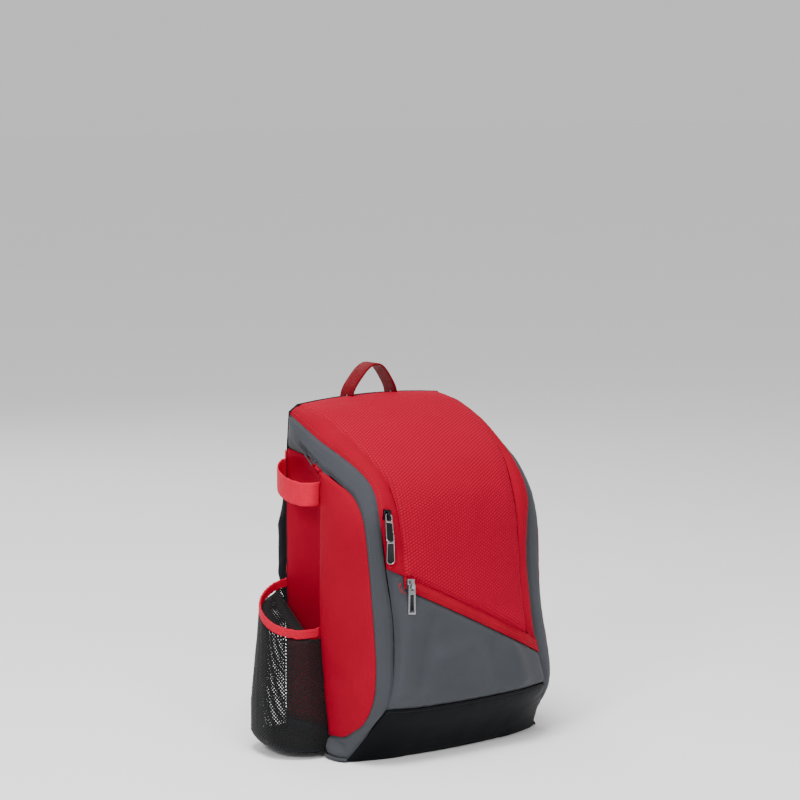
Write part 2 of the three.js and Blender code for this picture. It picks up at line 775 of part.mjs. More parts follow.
for (const name of ["left", "right"]) {
  const levels = POCKET_LEVELS.map(({ up, reach, full }) => ({
    full,
    front: THREE.MathUtils.lerp(NET_FLOOR, MOUTH_FRONT, up),
    back: THREE.MathUtils.lerp(NET_FLOOR, MOUTH_BACK, up),
    reach: reach * POCKET_REACH,
  }));
  const raised = levels.map((level, i) => {
    const lift = i === 0 ? NET_THICKNESS : 0;
    const past = i === levels.length - 1 ? BINDING_WIDTH : 0;
    return { ...level, front: level.front + lift + past, back: level.back + lift + past };
  });
  const net = onBody(roundBand(name, levels, 0).subtract(roundBand(name, raised, NET_THICKNESS)));
  addPiece("bat_pocket_" + name, net, FINISHES.net);

  const mouth = levels[levels.length - 1];
  const rim = (lift) => ({ ...mouth, front: MOUTH_FRONT + lift, back: MOUTH_BACK + lift });
  const rimLevels = [rim(SEAM_GAP), rim(BINDING_WIDTH)];
  const pastRim = [rim(-BINDING_WIDTH), rim(BINDING_WIDTH * 2)];
  const proud = (BINDING_THICKNESS - NET_THICKNESS) / 2;
  const binding = roundBand(name, rimLevels, -proud)
    .subtract(roundBand(name, pastRim, NET_THICKNESS + proud));
  addPiece("pocket_binding_" + name, onBody(binding), FINISHES.binding);

  const half = LOOP_WIDTH / 2;
  const web = (lift) => ({
    front: HEIGHT - LOOP_FRONT_DROP + lift,
    back: HEIGHT - LOOP_BACK_DROP + lift,
    reach: LOOP_REACH,
  });
  const loop = roundBand(name, [web(-half), web(half)], 0)
    .subtract(roundBand(name, [web(-half * 2), web(half * 2)], LOOP_THICKNESS));
  addPiece("bat_strap_" + name, onBody(loop), FINISHES.redWebbing);
}

// Grab handle: a standing loop of webbing on the back of the top seam
const handleCurve = new THREE.CatmullRomCurve3(
  HANDLE_LINE.map(({ across, up }) => new THREE.Vector3(across * HANDLE_SPAN, up * HANDLE_RISE, 0)),
);
const handleInner = [];
const handleOuter = [];
for (let i = 0; i <= HANDLE_STEPS; i += 1) {
  const point = handleCurve.getPoint(i / HANDLE_STEPS);
  const tangent = handleCurve.getTangent(i / HANDLE_STEPS);
  const normal = new THREE.Vector2(-tangent.y, tangent.x).multiplyScalar(HANDLE_THICKNESS / 2);
  handleOuter.push(new THREE.Vector2(point.x + normal.x, point.y + normal.y));
  handleInner.push(new THREE.Vector2(point.x - normal.x, point.y - normal.y));
}
const handleGeometry = new THREE.ExtrudeGeometry(
  new THREE.Shape([...handleOuter, ...handleInner.reverse()]),
  { depth: HANDLE_WIDTH, bevelEnabled: false, steps: 1 },
);
handleGeometry.rotateX(Math.PI / 2);
handleGeometry.translate(0, backY + HANDLE_SET_BACK, HEIGHT);
addPiece("handle", onBody(solidOf(handleGeometry)), FINISHES.handleRed);

// A flat band with rounded edges along a line of places, its width lying across
function strapSolid(stations, roundness) {
  const rings = stations.map(({ place, wide, thick }, i) => {
    const before = stations[Math.max(i - 1, 0)].place;
    const after = stations[Math.min(i + 1, stations.length - 1)].place;
    const along = after.clone().sub(before).normalize();
    const facing = new THREE.Vector3(0, 1, 0).addScaledVector(along, -along.y).normalize();
    const across = new THREE.Vector3().crossVectors(along, facing).normalize();
    const edge = wide / 2 - roundness * thick;
    const flat = thick * EDGE_FLAT;
    const corners = [
      [wide / 2, flat], [edge, thick / 2], [-edge, thick / 2], [-wide / 2, flat],
      [-wide / 2, -flat], [-edge, -thick / 2], [edge, -thick / 2], [wide / 2, -flat],
    ];
    return corners.map(([u, v]) => place.clone().addScaledVector(across, u).addScaledVector(facing, v));
  });
  return loft(rings);
}

for (const name of ["left", "right"]) {
  const side = name === "left" ? -1 : 1;
  const knots = STRAP_LINE.map(({ out, behind, down }) => new THREE.Vector3(
    side * out * STRAP_SPREAD,
    backY + behind * STRAP_REACH,
    THREE.MathUtils.lerp(HEIGHT - STRAP_DROP, STRAP_END, down),
  ));
  const stations = STRAP_LINE.map(({ wide, thick }, i) => ({
    place: knots[i],
    wide: wide * STRAP_WIDTH,
    thick: thick * STRAP_THICKNESS,
  }));
  addPiece("shoulder_strap_" + name, onBody(strapSolid(stations, STRAP_ROUNDING)), FINISHES.paddedBlack);

  // The ladder lock carries on in the line of the padded strap, and the webbing runs on to the corner tab
  const end = knots[knots.length - 1];
  const tabX = SEAMS[name].back(0).x - side * (TAB_WIDTH / 2 + TAB_INSET);
  const foot = new THREE.Vector3(tabX, backY, WEBBING_FOOT);
  const webAlong = foot.clone().sub(end).normalize();
  const facing = new THREE.Vector3(0, 1, 0).addScaledVector(webAlong, -webAlong.y).normalize();
  const across = new THREE.Vector3().crossVectors(webAlong, facing).normalize();
  const basis = new THREE.Matrix4().makeBasis(across, facing, webAlong);
  const turn = new THREE.Quaternion().setFromRotationMatrix(basis);
  const standOff = stations[stations.length - 1].thick / 2 + CLEARANCE * 2;
  const frame = end.clone().addScaledVector(webAlong, standOff + BUCKLE_LENGTH / 2);
  const slot = (BUCKLE_LENGTH - 3 * BUCKLE_BAR) / 2;
  const slotAt = (direction) => boxSolid(
    BUCKLE_WIDTH - 2 * BUCKLE_SIDE,
    BUCKLE_THICKNESS * 2,
    slot,
    frame.clone().addScaledVector(webAlong, direction * (BUCKLE_BAR + slot) / 2),
    turn,
  );
  const buckle = boxSolid(BUCKLE_WIDTH, BUCKLE_THICKNESS, BUCKLE_LENGTH, frame, turn)
    .subtract(slotAt(-1))
    .subtract(slotAt(1));
  addPiece("strap_buckle_" + name, buckle, FINISHES.buckle);

  const behind = facing.clone().multiplyScalar(-(BUCKLE_THICKNESS + WEBBING_THICKNESS) / 2 - CLEARANCE * 2);
  const start = frame.clone().addScaledVector(webAlong, -BUCKLE_BAR / 2);
  const webbing = [0, 0.5, 1].map((t) => ({
    place: start.clone().lerp(foot, t).add(behind),
    wide: WEBBING_WIDTH,
    thick: WEBBING_THICKNESS,
  }));
  const tabCentre = new THREE.Vector3(
    tabX,
    backY + TAB_THICKNESS / 2 + CLEARANCE,
    TAB_ABOVE_FLOOR + TAB_LENGTH / 2,
  );
  const tabGrownBy = (grow) => boxSolid(TAB_WIDTH + grow, TAB_THICKNESS + grow, TAB_LENGTH + grow, tabCentre);
  addPiece("strap_tab_" + name, tabGrownBy(0), FINISHES.paddedBlack);
  const adjuster = onBody(strapSolid(webbing, WEBBING_ROUNDING)).subtract(tabGrownBy(CLEARANCE * 2));
  addPiece("strap_webbing_" + name, largest(adjuster), FINISHES.paddedBlack);
}

// Zip sliders and pulls. In a slider's own frame x runs across the zip, y up along it and z out of the cloth.
const axisHeight = SLIDER_THICKNESS + PULL_PLAY + PULL_THICKNESS / 2;
const bridgeTop = axisHeight + PULL_THICKNESS / 2 + PULL_PLAY + BRIDGE_WALL;

function sliderSolid() {
  const plate = boxSolid(
    SLIDER_WIDTH,
    SLIDER_LENGTH,
    SLIDER_THICKNESS + SLIDER_ROOT,
    new THREE.Vector3(0, 0, (SLIDER_THICKNESS - SLIDER_ROOT) / 2),
  );
  const bridge = boxSolid(BRIDGE_WIDTH, BRIDGE_LENGTH, bridgeTop, new THREE.Vector3(0, 0, bridgeTop / 2));
  const windowHeight = bridgeTop - BRIDGE_WALL - SLIDER_THICKNESS;
  const window = boxSolid(
    BRIDGE_WIDTH * 2,
    BRIDGE_LENGTH - 2 * BRIDGE_WALL,
    windowHeight,
    new THREE.Vector3(0, 0, SLIDER_THICKNESS + windowHeight / 2),
  );
  return plate.add(bridge).subtract(window);
}

function pullSolid() {
  const shape = new THREE.Shape();
  const half = PULL_WIDTH / 2;
  const top = PULL_THICKNESS / 2;
  shape.moveTo(-half, top);
  shape.lineTo(-half, top - PULL_LENGTH + half);
  shape.absarc(0, top - PULL_LENGTH + half, half, Math.PI, 2 * Math.PI, false);
  shape.lineTo(half, top);
  shape.closePath();
  const eye = new THREE.Path();
  const eyeHalf = half - PULL_RAIL;
  eye.moveTo(-eyeHalf, -top);
  eye.lineTo(eyeHalf, -top);
  eye.lineTo(eyeHalf, -top - PULL_EYE);
  eye.lineTo(-eyeHalf, -top - PULL_EYE);
  eye.closePath();
  shape.holes.push(eye);
  const geometry = new THREE.ExtrudeGeometry(shape, {
    depth: PULL_THICKNESS,
    bevelEnabled: false,
    curveSegments: ARC_STEPS,
  });
  geometry.translate(0, 0, -PULL_THICKNESS / 2);
  return solidOf(geometry);
}

function stripPlace(section, toCrease) {
  return SEAMS.left.zip(section).lerp(SEAMS.left.crease(section), toCrease);
}

// A place on the front by its height, at a share across between the creases
function frontPlace(height, x) {
  let low = 0;
  let high = lastSection;
  for (let i = 0; i < HALVINGS; i += 1) {
    const half = (low + high) / 2;
    if (frontPoint(half, 0).z < height) low = half;
    else high = half;
  }
  return frontPoint(low, x / SEAMS.right.crease(low).x);
}

// The places that set a slider's frame: its own, and those above, below and beside it on the cloth
function onTapePlaces() {
  const x = -POCKET_SLIDER_OUT;
  const seamShare = (x + HALF_WIDTH) / (2 * HALF_WIDTH);
  const height = THREE.MathUtils.lerp(POCKET_SEAM_LEFT, POCKET_SEAM_RIGHT, seamShare) - ZIP_TAPE_WIDTH / 2;
  return [
    frontPlace(height, x),
    frontPlace(height + SLOPE_ABOVE, x),
    frontPlace(height - SLOPE_BELOW, x),
    frontPlace(height, x + SLOPE_BESIDE),
  ];
}

function onStripPlaces(section, toCrease) {
  return [
    stripPlace(section, toCrease),
    stripPlace(section + SLOPE_SECTIONS, toCrease),
    stripPlace(section - SLOPE_SECTIONS, toCrease),
    SEAMS.left.crease(section),
  ];
}

for (const { name, pull, section, toCrease, onTape, turn, lift } of SLIDERS) {
  const [place, above, below, beside] = onTape ? onTapePlaces() : onStripPlaces(section, toCrease);
  const up = above.clone().sub(below).normalize();
  const out = new THREE.Vector3().crossVectors(beside.clone().sub(place), up).normalize();
  up.applyAxisAngle(out, THREE.MathUtils.degToRad(turn));
  const across = new THREE.Vector3().crossVectors(up, out).normalize();
  const holder = new THREE.Group();
  holder.name = name + "_place";
  holder.position.copy(place);
  holder.quaternion.setFromRotationMatrix(new THREE.Matrix4().makeBasis(across, up, out));
  holder.updateMatrix();
  const placed = sliderSolid().transform([...holder.matrix.elements]);
  addPiece(name, onBody(placed), FINISHES.slider);
  const pullMesh = addPiece(pull, pullSolid(), FINISHES.pull, holder);
  pullMesh.position.set(0, 0, axisHeight);
  pullMesh.rotation.x = -THREE.MathUtils.degToRad(lift);
  group.add(holder);
}

export default group;
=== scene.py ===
import json
import math

import bmesh
import bpy
from mathutils import Matrix, Vector, kdtree, noise
from mathutils.bvhtree import BVHTree


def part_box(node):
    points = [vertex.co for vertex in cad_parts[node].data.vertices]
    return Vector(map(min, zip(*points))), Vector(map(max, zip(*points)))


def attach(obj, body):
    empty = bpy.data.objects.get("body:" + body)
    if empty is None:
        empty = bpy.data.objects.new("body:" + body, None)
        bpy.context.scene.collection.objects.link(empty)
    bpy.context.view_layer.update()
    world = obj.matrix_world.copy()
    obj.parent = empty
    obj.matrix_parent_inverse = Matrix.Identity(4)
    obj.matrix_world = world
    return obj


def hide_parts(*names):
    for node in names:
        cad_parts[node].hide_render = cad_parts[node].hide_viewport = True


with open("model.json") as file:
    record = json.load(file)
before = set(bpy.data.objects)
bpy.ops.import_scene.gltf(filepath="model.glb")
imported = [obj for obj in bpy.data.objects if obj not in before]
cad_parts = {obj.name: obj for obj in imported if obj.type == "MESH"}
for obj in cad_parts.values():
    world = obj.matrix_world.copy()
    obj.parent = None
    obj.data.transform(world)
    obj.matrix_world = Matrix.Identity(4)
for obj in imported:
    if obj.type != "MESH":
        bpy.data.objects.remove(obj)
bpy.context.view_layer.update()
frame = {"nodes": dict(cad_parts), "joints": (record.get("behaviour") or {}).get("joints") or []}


# Camera: a long lens about 3.4 m away and a little above the bag, as in a catalogue picture.
# The left side, the front and a little of the top are seen.
camera_data = bpy.data.cameras.new("catalogue_camera")
camera_data.sensor_width = 36
camera_data.lens = 128.25
camera = bpy.data.objects.new("catalogue_camera", camera_data)
camera.location = (-2.089, -2.614, 0.816)
camera.rotation_euler = (math.radians(82.96), 0, math.radians(-38.5))
bpy.context.scene.collection.objects.link(camera)
bpy.context.scene.camera = camera


# Studio: white paper on the floor, a white room, and soft boxes above, in front and to the left.
# The soft boxes give the cloth its shape and the metal its bright edges.
def colour(code):
    """A sRGB hex code as linear light."""
    parts = [int(code[i:i + 2], 16) / 255 for i in (1, 3, 5)]
    return [c / 12.92 if c <= 0.04045 else ((c + 0.055) / 1.055) ** 2.4 for c in parts] + [1.0]


def add(tree, kind, values=None, links=None, **settings):
    """One node, with its settings, the values of its sockets, and what is linked into it."""
    node = tree.nodes.new(kind)
    for key, value in settings.items():
        setattr(node, key, value)
    for key, value in (values or {}).items():
        node.inputs[key].default_value = value
    for key, socket in (links or {}).items():
        tree.links.new(socket, node.inputs[key])
    return node


def new_material(name, **values):
    """An empty finish and its surface shader, with plain values set on the shader's own sockets."""
    material = bpy.data.materials.new(name)
    material.use_nodes = True
    shader = material.node_tree.nodes["Principled BSDF"]
    for key, value in values.items():
        shader.inputs[key.replace("_", " ")].default_value = value
    return material, material.node_tree, shader


def take(piece):
    """Selects one piece alone."""
    bpy.ops.object.select_all(action="DESELECT")
    piece.select_set(True)
    bpy.context.view_layer.objects.active = piece


# The paper lies half a millimetre under the bag, so that no two faces share a plane
bpy.ops.object.select_all(action="DESELECT")
bpy.ops.mesh.primitive_plane_add(size=40, location=(0, 0, -0.0005))
floor = bpy.context.object
floor.name = "studio_floor"
bpy.ops.object.transform_apply(location=True, rotation=True, scale=True)
bpy.ops.object.mode_set(mode="EDIT")
bpy.ops.mesh.subdivide(number_cuts=12)
bpy.ops.object.mode_set(mode="OBJECT")
# Matt white paper: even and bright, with a trace of unevenness
paper, tree, shader = new_material("white_backdrop_paper", Roughness=0.9)
place = add(tree, "ShaderNodeTexCoord").outputs["Object"]
mottle = add(tree, "ShaderNodeTexNoise", {"Scale": 3.0, "Detail": 2.0}, {"Vector": place})
tone = add(tree, "ShaderNodeMix", {6: colour("#fcfcfc"), 7: colour("#ffffff")},
           {0: mottle.outputs["Fac"]}, data_type="RGBA")
tree.links.new(tone.outputs[2], shader.inputs["Base Color"])
floor.data.materials.append(paper)

world = bpy.data.worlds.new("white_room")
world.use_nodes = True
world.node_tree.nodes["Background"].inputs["Color"].default_value = colour("#ffffff")
world.node_tree.nodes["Background"].inputs["Strength"].default_value = 0.72
bpy.context.scene.world = world


def soft_box(name, place, size, power):
    """A square lamp at a place, turned to face the middle of the bag."""
    light = bpy.data.lights.new(name, "AREA")
    light.shape = "SQUARE"
    light.size = size
    light.energy = power
    lamp = bpy.data.objects.new(name, light)
    lamp.location = place
    lamp.rotation_euler = (Vector((0, 0, 0.2)) - Vector(place)).to_track_quat("-Z", "Y").to_euler()
    bpy.context.scene.collection.objects.link(lamp)


soft_box("top_box", (-0.4, -0.3, 2.2), 0.9, 50)
soft_box("front_box", (-0.6, -2.4, 1.5), 0.6, 14)
soft_box("left_box", (-2.1, -1.0, 1.5), 0.5, 30)
soft_box("back_box", (0.5, 2.3, 1.6), 1.2, 16)


# Lid panel: the front and lid of the main compartment, one piece of embossed polyester over thin foam.
# It is sewn to a plain strip on each side and to the back panel behind the handle.

# A point inside the bag, which tells a panel's outer face from its inner one
INSIDE = Vector((0, -0.015, 0.2))
THICKEST_WALL = 0.0035
LID_WALL, CLOTH_WALL = 0.002, 0.0014


def surface_of(mesh):
    """A mesh's faces, to find the nearest place on them or the first in a direction."""
    return BVHTree.FromPolygons([v.co for v in mesh.vertices], [p.vertices[:] for p in mesh.polygons])


def copy_node(node, name):
    """A merged copy of a CAD node's mesh, as a new piece."""
    piece = bpy.data.objects.new(name, frame["nodes"][node].data.copy())
    bpy.context.scene.collection.objects.link(piece)
    piece.data.materials.clear()
    take(piece)
    bpy.ops.mesh.customdata_custom_splitnormals_clear()
    bpy.ops.object.mode_set(mode="EDIT")
    bpy.ops.mesh.select_mode(type="FACE")
    bpy.ops.mesh.select_all(action="SELECT")
    bpy.ops.mesh.remove_doubles(threshold=1e-5)
    bpy.ops.object.mode_set(mode="OBJECT")
    return piece


def hold_corners(piece, angle, crease):
    """Marks the edges that bend more than an angle, so that smoothing keeps them."""
    shape = bmesh.new()
    shape.from_mesh(piece.data)
    layer = shape.edges.layers.float.get("crease_edge") or shape.edges.layers.float.new("crease_edge")
    for edge in shape.edges:
        if len(edge.link_faces) == 2 and edge.calc_face_angle() > math.radians(angle):
            edge[layer] = crease
    shape.to_mesh(piece.data)
    shape.free()


def smooth(piece, levels):
    """Rounds a piece by subdivision."""
    take(piece)
    step = piece.modifiers.new("rounding", "SUBSURF")
    step.levels = levels
    step.render_levels = levels
    step.boundary_smooth = "PRESERVE_CORNERS"
    bpy.ops.object.modifier_apply(modifier=step.name)
    bpy.ops.object.shade_smooth()


def cut_cloth(node, name, levels=3):
    """The outer face of a CAD panel as one smooth sheet, from its own copy."""
    piece = copy_node(node, name)
    walls = surface_of(piece.data)
    # A wall's outer face looks away from the inside, and has its inner face close behind it
    for face in piece.data.polygons:
        start = face.center - face.normal * 2e-5
        _, facing, _, _ = walls.ray_cast(start, -face.normal, THICKEST_WALL)
        wall = facing is not None and facing.dot(face.normal) < -0.6
        face.select = not (wall and (face.center - INSIDE).dot(face.normal) > 0)
    bpy.ops.object.mode_set(mode="EDIT")
    bpy.ops.mesh.delete(type="FACE")
    bpy.ops.mesh.select_all(action="SELECT")
    bpy.ops.mesh.tris_convert_to_quads(face_threshold=math.radians(35), shape_threshold=math.radians(70))
    bpy.ops.object.mode_set(mode="OBJECT")
    hold_corners(piece, angle=38, crease=0.75)
    if levels:
        smooth(piece, levels)
    return piece


def edge_points(piece):
    """The points on a sheet's cut edge."""
    used = {}
    for face in piece.data.polygons:
        for key in face.edge_keys:
            used[key] = used.get(key, 0) + 1
    ids = sorted({i for key, count in used.items() if count == 1 for i in key})
    return [piece.data.vertices[i].co.copy() for i in ids]


def eased(value):
    """0 to 1, with a soft start and end."""
    value = min(max(value, 0.0), 1.0)
    return value * value * (3 - 2 * value)


# How far in from its seam a sheet is pinched and puckered, and from where it is full, folded or rolled
PINCH_REACH, PUCKER_REACH = 0.006, 0.012
FULL_REACH, FOLD_REACH, SMALL_FOLD_REACH, ROLL_REACH = 0.022, 0.035, 0.02, 0.008
PUCKER_SIZE = 0.009
# A small fold beside a large one, in height and in size
SMALL_HEIGHT, SMALL_SIZE = 0.3, 0.35


def sew(piece, seed, pinch=0.0016, pucker=0.0004, fold=0.001, size=0.08, full=0.001, rolls=()):
    """Sews a sheet in: its edge is drawn in and puckered, and the cloth between is full and a little folded.
    A roll is a long soft fold from one point to another, with its height and half width."""
    edge = edge_points(piece)
    nearest = kdtree.KDTree(len(edge))
    for i, point in enumerate(edge):
        nearest.insert(point, i)
    nearest.balance()
    mesh = piece.data
    normals = [v.normal.copy() for v in mesh.vertices]
    for vertex, normal in zip(mesh.vertices, normals):
        point, _, away = nearest.find(vertex.co)
        move = full * eased(away / FULL_REACH) - pinch * (1 - eased(away / PINCH_REACH))
        move += pucker * noise.noise(point / PUCKER_SIZE + seed) * math.exp(-away / PUCKER_REACH)
        move += fold * noise.noise(vertex.co / size + seed) * eased(away / FOLD_REACH)
        small = noise.noise(vertex.co / (size * SMALL_SIZE) + seed)
        move += fold * SMALL_HEIGHT * small * eased(away / SMALL_FOLD_REACH)
        for start, end, height, half in rolls:
            span = Vector(end) - Vector(start)
            part = min(max((vertex.co - Vector(start)).dot(span) / span.length_squared, 0), 1)
            off = (vertex.co - Vector(start) - span * part).length / half
            move += height * math.exp(-off * off) * eased(away / ROLL_REACH)
        vertex.co += normal * move


def thicken(piece, wall=CLOTH_WALL):
    """Gives a sheet its real thickness, on its inner side."""
    take(piece)
    step = piece.modifiers.new("wall", "SOLIDIFY")
    step.thickness = wall
    step.offset = -1
    bpy.ops.object.modifier_apply(modifier=step.name)
    bpy.ops.object.shade_smooth_by_angle(angle=math.radians(50))


def wear(piece, finish, slot, *nodes):
    """The piece's finish, its material slot, which is not used, and the CAD nodes that it stands for."""
    piece.data.materials.clear()
    piece.data.materials.append(finish)
    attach(piece, "bag")
    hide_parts(*nodes)


# In the side view, seams are followed round a point on the back panel, 100 mm up
HUB_Y, HUB_Z = 0.0755, 0.1


def up_the_front(point):
    """A point's turn round the hub, from the front of the base up the front and over the top."""
    return math.atan2(point.z - HUB_Z, HUB_Y - point.y)


def seam_line(piece, neighbour, reach=0.003):
    """The points of a sheet's edge that lie beside another CAD node, in order up the front and over the top."""
    beside = surface_of(frame["nodes"][neighbour].data)
    points = [p for p in edge_points(piece) if beside.find_nearest(p, reach)[0] is not None]
    return sorted(points, key=up_the_front)


def even(points, step):
    """Places a step apart along a line of points."""
    placed, left = [points[0]], step
    for a, b in zip(points, points[1:]):
        length = (b - a).length
        while length >= left > 0 and length > 0:
            a = a.lerp(b, left / length)
            placed.append(a)
            length, left = (b - a).length, step
        left -= length
    return placed


# The hexagons pressed into the cloth are 3.9 mm apart
EMBOSS = 0.0039
# The cloth is laid flat along its middle line, in steps of 2 mm
SPINE_STEP = 0.002
lid = cut_cloth("lid_panel", "lid_cloth")
lid_seams = {side: seam_line(lid, "zip_strip_" + side) for side in ("left", "right")}
sew(lid, Vector((3.1, 0.4, 7.7)), pinch=0.003, fold=0.0016, full=0.0014, rolls=[
    ((-0.105, -0.118, 0.233), (0.0, -0.129, 0.181), 0.0022, 0.007),
    ((0.0, -0.129, 0.181), (0.105, -0.12, 0.13), 0.0022, 0.007),
    ((-0.075, -0.09, 0.315), (0.02, -0.1, 0.3), 0.0018, 0.02),
    ((0.03, -0.12, 0.25), (0.085, -0.12, 0.19), -0.0016, 0.02),
])
spine = sorted((v.co for v in lid.data.vertices if abs(v.co.x) < SPINE_STEP * 2), key=up_the_front)
spine = even([Vector((0, p.y, p.z)) for p in spine], SPINE_STEP)
on_spine = kdtree.KDTree(len(spine))
for i, point in enumerate(spine):
    on_spine.insert(point, i)
on_spine.balance()
lid_sheet = lid.data.copy()
thicken(lid, LID_WALL)
laid_flat = lid.data.uv_layers.new(name="cut")
for loop in lid.data.loops:
    point = lid.data.vertices[loop.vertex_index].co
    low, i, _ = on_spine.find(Vector((0, point.y, point.z)))
    ahead = (spine[min(i + 1, len(spine) - 1)] - spine[max(i - 1, 0)]).normalized()
    along = i * SPINE_STEP + (Vector((0, point.y, point.z)) - low).dot(ahead)
    laid_flat.data[loop.index].uv = (point.x, along)
# Embossed polyester: pressed hexagons, with their relief as a bump and painted shade that colours the pressed
# rows darker, and a satin gloss
embossed, tree, shader = new_material("embossed_red_polyester", Roughness=0.72, Sheen_Weight=0.04,
                                      Sheen_Roughness=0.45, Specular_IOR_Level=0.05,
                                      Sheen_Tint=colour("#ff3045"), Specular_Tint=colour("#ff2038"))
cut = add(tree, "ShaderNodeUVMap", uv_map="cut").outputs["UV"]
wave = 2 * math.pi / (EMBOSS * math.cos(math.radians(30)))
rows = []
for turn in (-60, 0, 60):
    angle = math.radians(turn)
    run = add(tree, "ShaderNodeVectorMath", {1: (math.cos(angle) * wave, math.sin(angle) * wave, 0)},
              {0: cut}, operation="DOT_PRODUCT")
    rows.append(add(tree, "ShaderNodeMath", None, {0: run.outputs["Value"]}, operation="COSINE").outputs[0])
pair = add(tree, "ShaderNodeMath", None, {0: rows[1], 1: rows[2]}, operation="ADD")
# The rows that rise to the right are pressed deepest
pressed = add(tree, "ShaderNodeMath", {1: 1.7}, {0: rows[0], 2: pair.outputs[0]}, operation="MULTIPLY_ADD")
depth = add(tree, "ShaderNodeMapRange", {"From Min": -2.2, "From Max": 1.6}, {"Value": pressed.outputs[0]})
place = add(tree, "ShaderNodeTexCoord").outputs["Object"]
cloud = add(tree, "ShaderNodeTexNoise", {"Scale": 16.0, "Detail": 3.0}, {"Vector": place})
light = add(tree, "ShaderNodeMix", {6: colour("#9c0b28"), 7: colour("#ab0d2c")},
            {0: cloud.outputs["Fac"]}, data_type="RGBA")
# Painted shade: the pressed rows are coloured darker (#7f0820) than the cloth, as if less light fell into them
shade = add(tree, "ShaderNodeMix", {6: colour("#7f0820")},
            {0: depth.outputs[0], 7: light.outputs[2]}, data_type="RGBA")
tree.links.new(shade.outputs[2], shader.inputs["Base Color"])
relief = add(tree, "ShaderNodeBump", {"Strength": 0.3, "Distance": 0.0004}, {"Height": depth.outputs[0]})
tree.links.new(relief.outputs[0], shader.inputs["Normal"])
wear(lid, embossed, "embossed_red", "lid_panel")


# Topstitching: short thread stitches that lie on the cloth, 3 mm in from a seam and 3.4 mm apart.
# The machine pulls each one a little into the cloth at its ends.
STITCH = 0.0026
STITCH_PITCH, STITCH_INSET = 0.0034, 0.003
ABOVE_CLOTH = 0.0001


def thread(name, code):
    """Spun polyester thread: matt, with a twist that shows as fine stripes."""
    material, tree, shader = new_material(name, Roughness=0.6, Sheen_Weight=0.1, Specular_IOR_Level=0.2)
    place = add(tree, "ShaderNodeTexCoord").outputs["Object"]
    twist = add(tree, "ShaderNodeTexNoise", {"Scale": 1400.0}, {"Vector": place})
    ply = add(tree, "ShaderNodeMix", {6: [c * 0.6 for c in colour(code)[:3]] + [1], 7: colour(code)},
              {0: twist.outputs["Fac"]}, data_type="RGBA")
    tree.links.new(ply.outputs[2], shader.inputs["Base Color"])
    return material


red_thread = thread("red_polyester_thread", "#a81528")
grey_thread = thread("grey_polyester_thread", "#4a4c50")
black_thread = thread("black_polyester_thread", "#17181a")

bpy.ops.object.select_all(action="DESELECT")
bpy.ops.mesh.primitive_uv_sphere_add(segments=6, ring_count=4, radius=STITCH / 2)
one_stitch = bpy.context.object
bpy.ops.object.mode_set(mode="EDIT")
bpy.ops.transform.rotate(value=math.pi / 2, orient_axis="Y", center_override=(0, 0, 0))
bpy.ops.transform.resize(value=(1, 0.3, 0.26))
bpy.ops.mesh.select_all(action="DESELECT")
bpy.ops.object.mode_set(mode="OBJECT")
for vertex in one_stitch.data.vertices:
    vertex.select = abs(vertex.co.x) > STITCH * 0.45
bpy.ops.object.mode_set(mode="EDIT")
bpy.ops.transform.translate(value=(0, 0, -0.0003))
bpy.ops.object.mode_set(mode="OBJECT")


def stitch(name, path, surface, finish, inset=STITCH_INSET, pitch=STITCH_PITCH):
    """A row of stitches along a seam line, set in from it onto the cloth. It stops where the line leaves it."""
    places = even(path, pitch)
    copies = []
    for i, point in enumerate(places):
        along = places[min(i + 1, len(places) - 1)] - places[max(i - 1, 0)]
        near, normal, _, _ = surface.find_nearest(point)
        if near is None or along.length < 1e-6 or abs(along.normalized().dot(normal)) > 0.7:
            continue
        along = (along - normal * along.dot(normal)).normalized()
        sides = [near + normal.cross(along) * sign * inset for sign in (1, -1)]
        found = [surface.find_nearest(side) for side in sides]
        away = [(hit[0] - side).length for hit, side in zip(found, sides)]
        spot, normal, _, _ = found[0] if away[0] <= away[1] else found[1]
        along = (along - normal * along.dot(normal)).normalized()
        turn = Matrix((along, normal.cross(along), normal)).transposed().to_4x4()
        piece = bpy.data.objects.new(name, one_stitch.data.copy())
        piece.data.transform(Matrix.Translation(spot + normal * ABOVE_CLOTH) @ turn)
        bpy.context.scene.collection.objects.link(piece)
        copies.append(piece)
    bpy.ops.object.select_all(action="DESELECT")
    for piece in copies:
        piece.select_set(True)
    bpy.context.view_layer.objects.active = copies[0]
    bpy.ops.object.join()
    row = bpy.context.object
    row.name = name
    bpy.ops.object.shade_smooth()
    row.data.materials.append(finish)
    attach(row, "bag")


for side in ("left", "right"):
    stitch("lid_stitches_" + side, lid_seams[side], surface_of(lid_sheet), red_thread)


# Plain red cloth: the strips over the main zip, the side panels, and the sides behind the bats.
# All are woven polyester, coated inside, and sewn edge to edge over a thin foam.
WEAVE_PITCH = 0.0016
FRONT_WEAVE, SIDE_WEAVE = (1, 0, 1), (0, 1, 1)


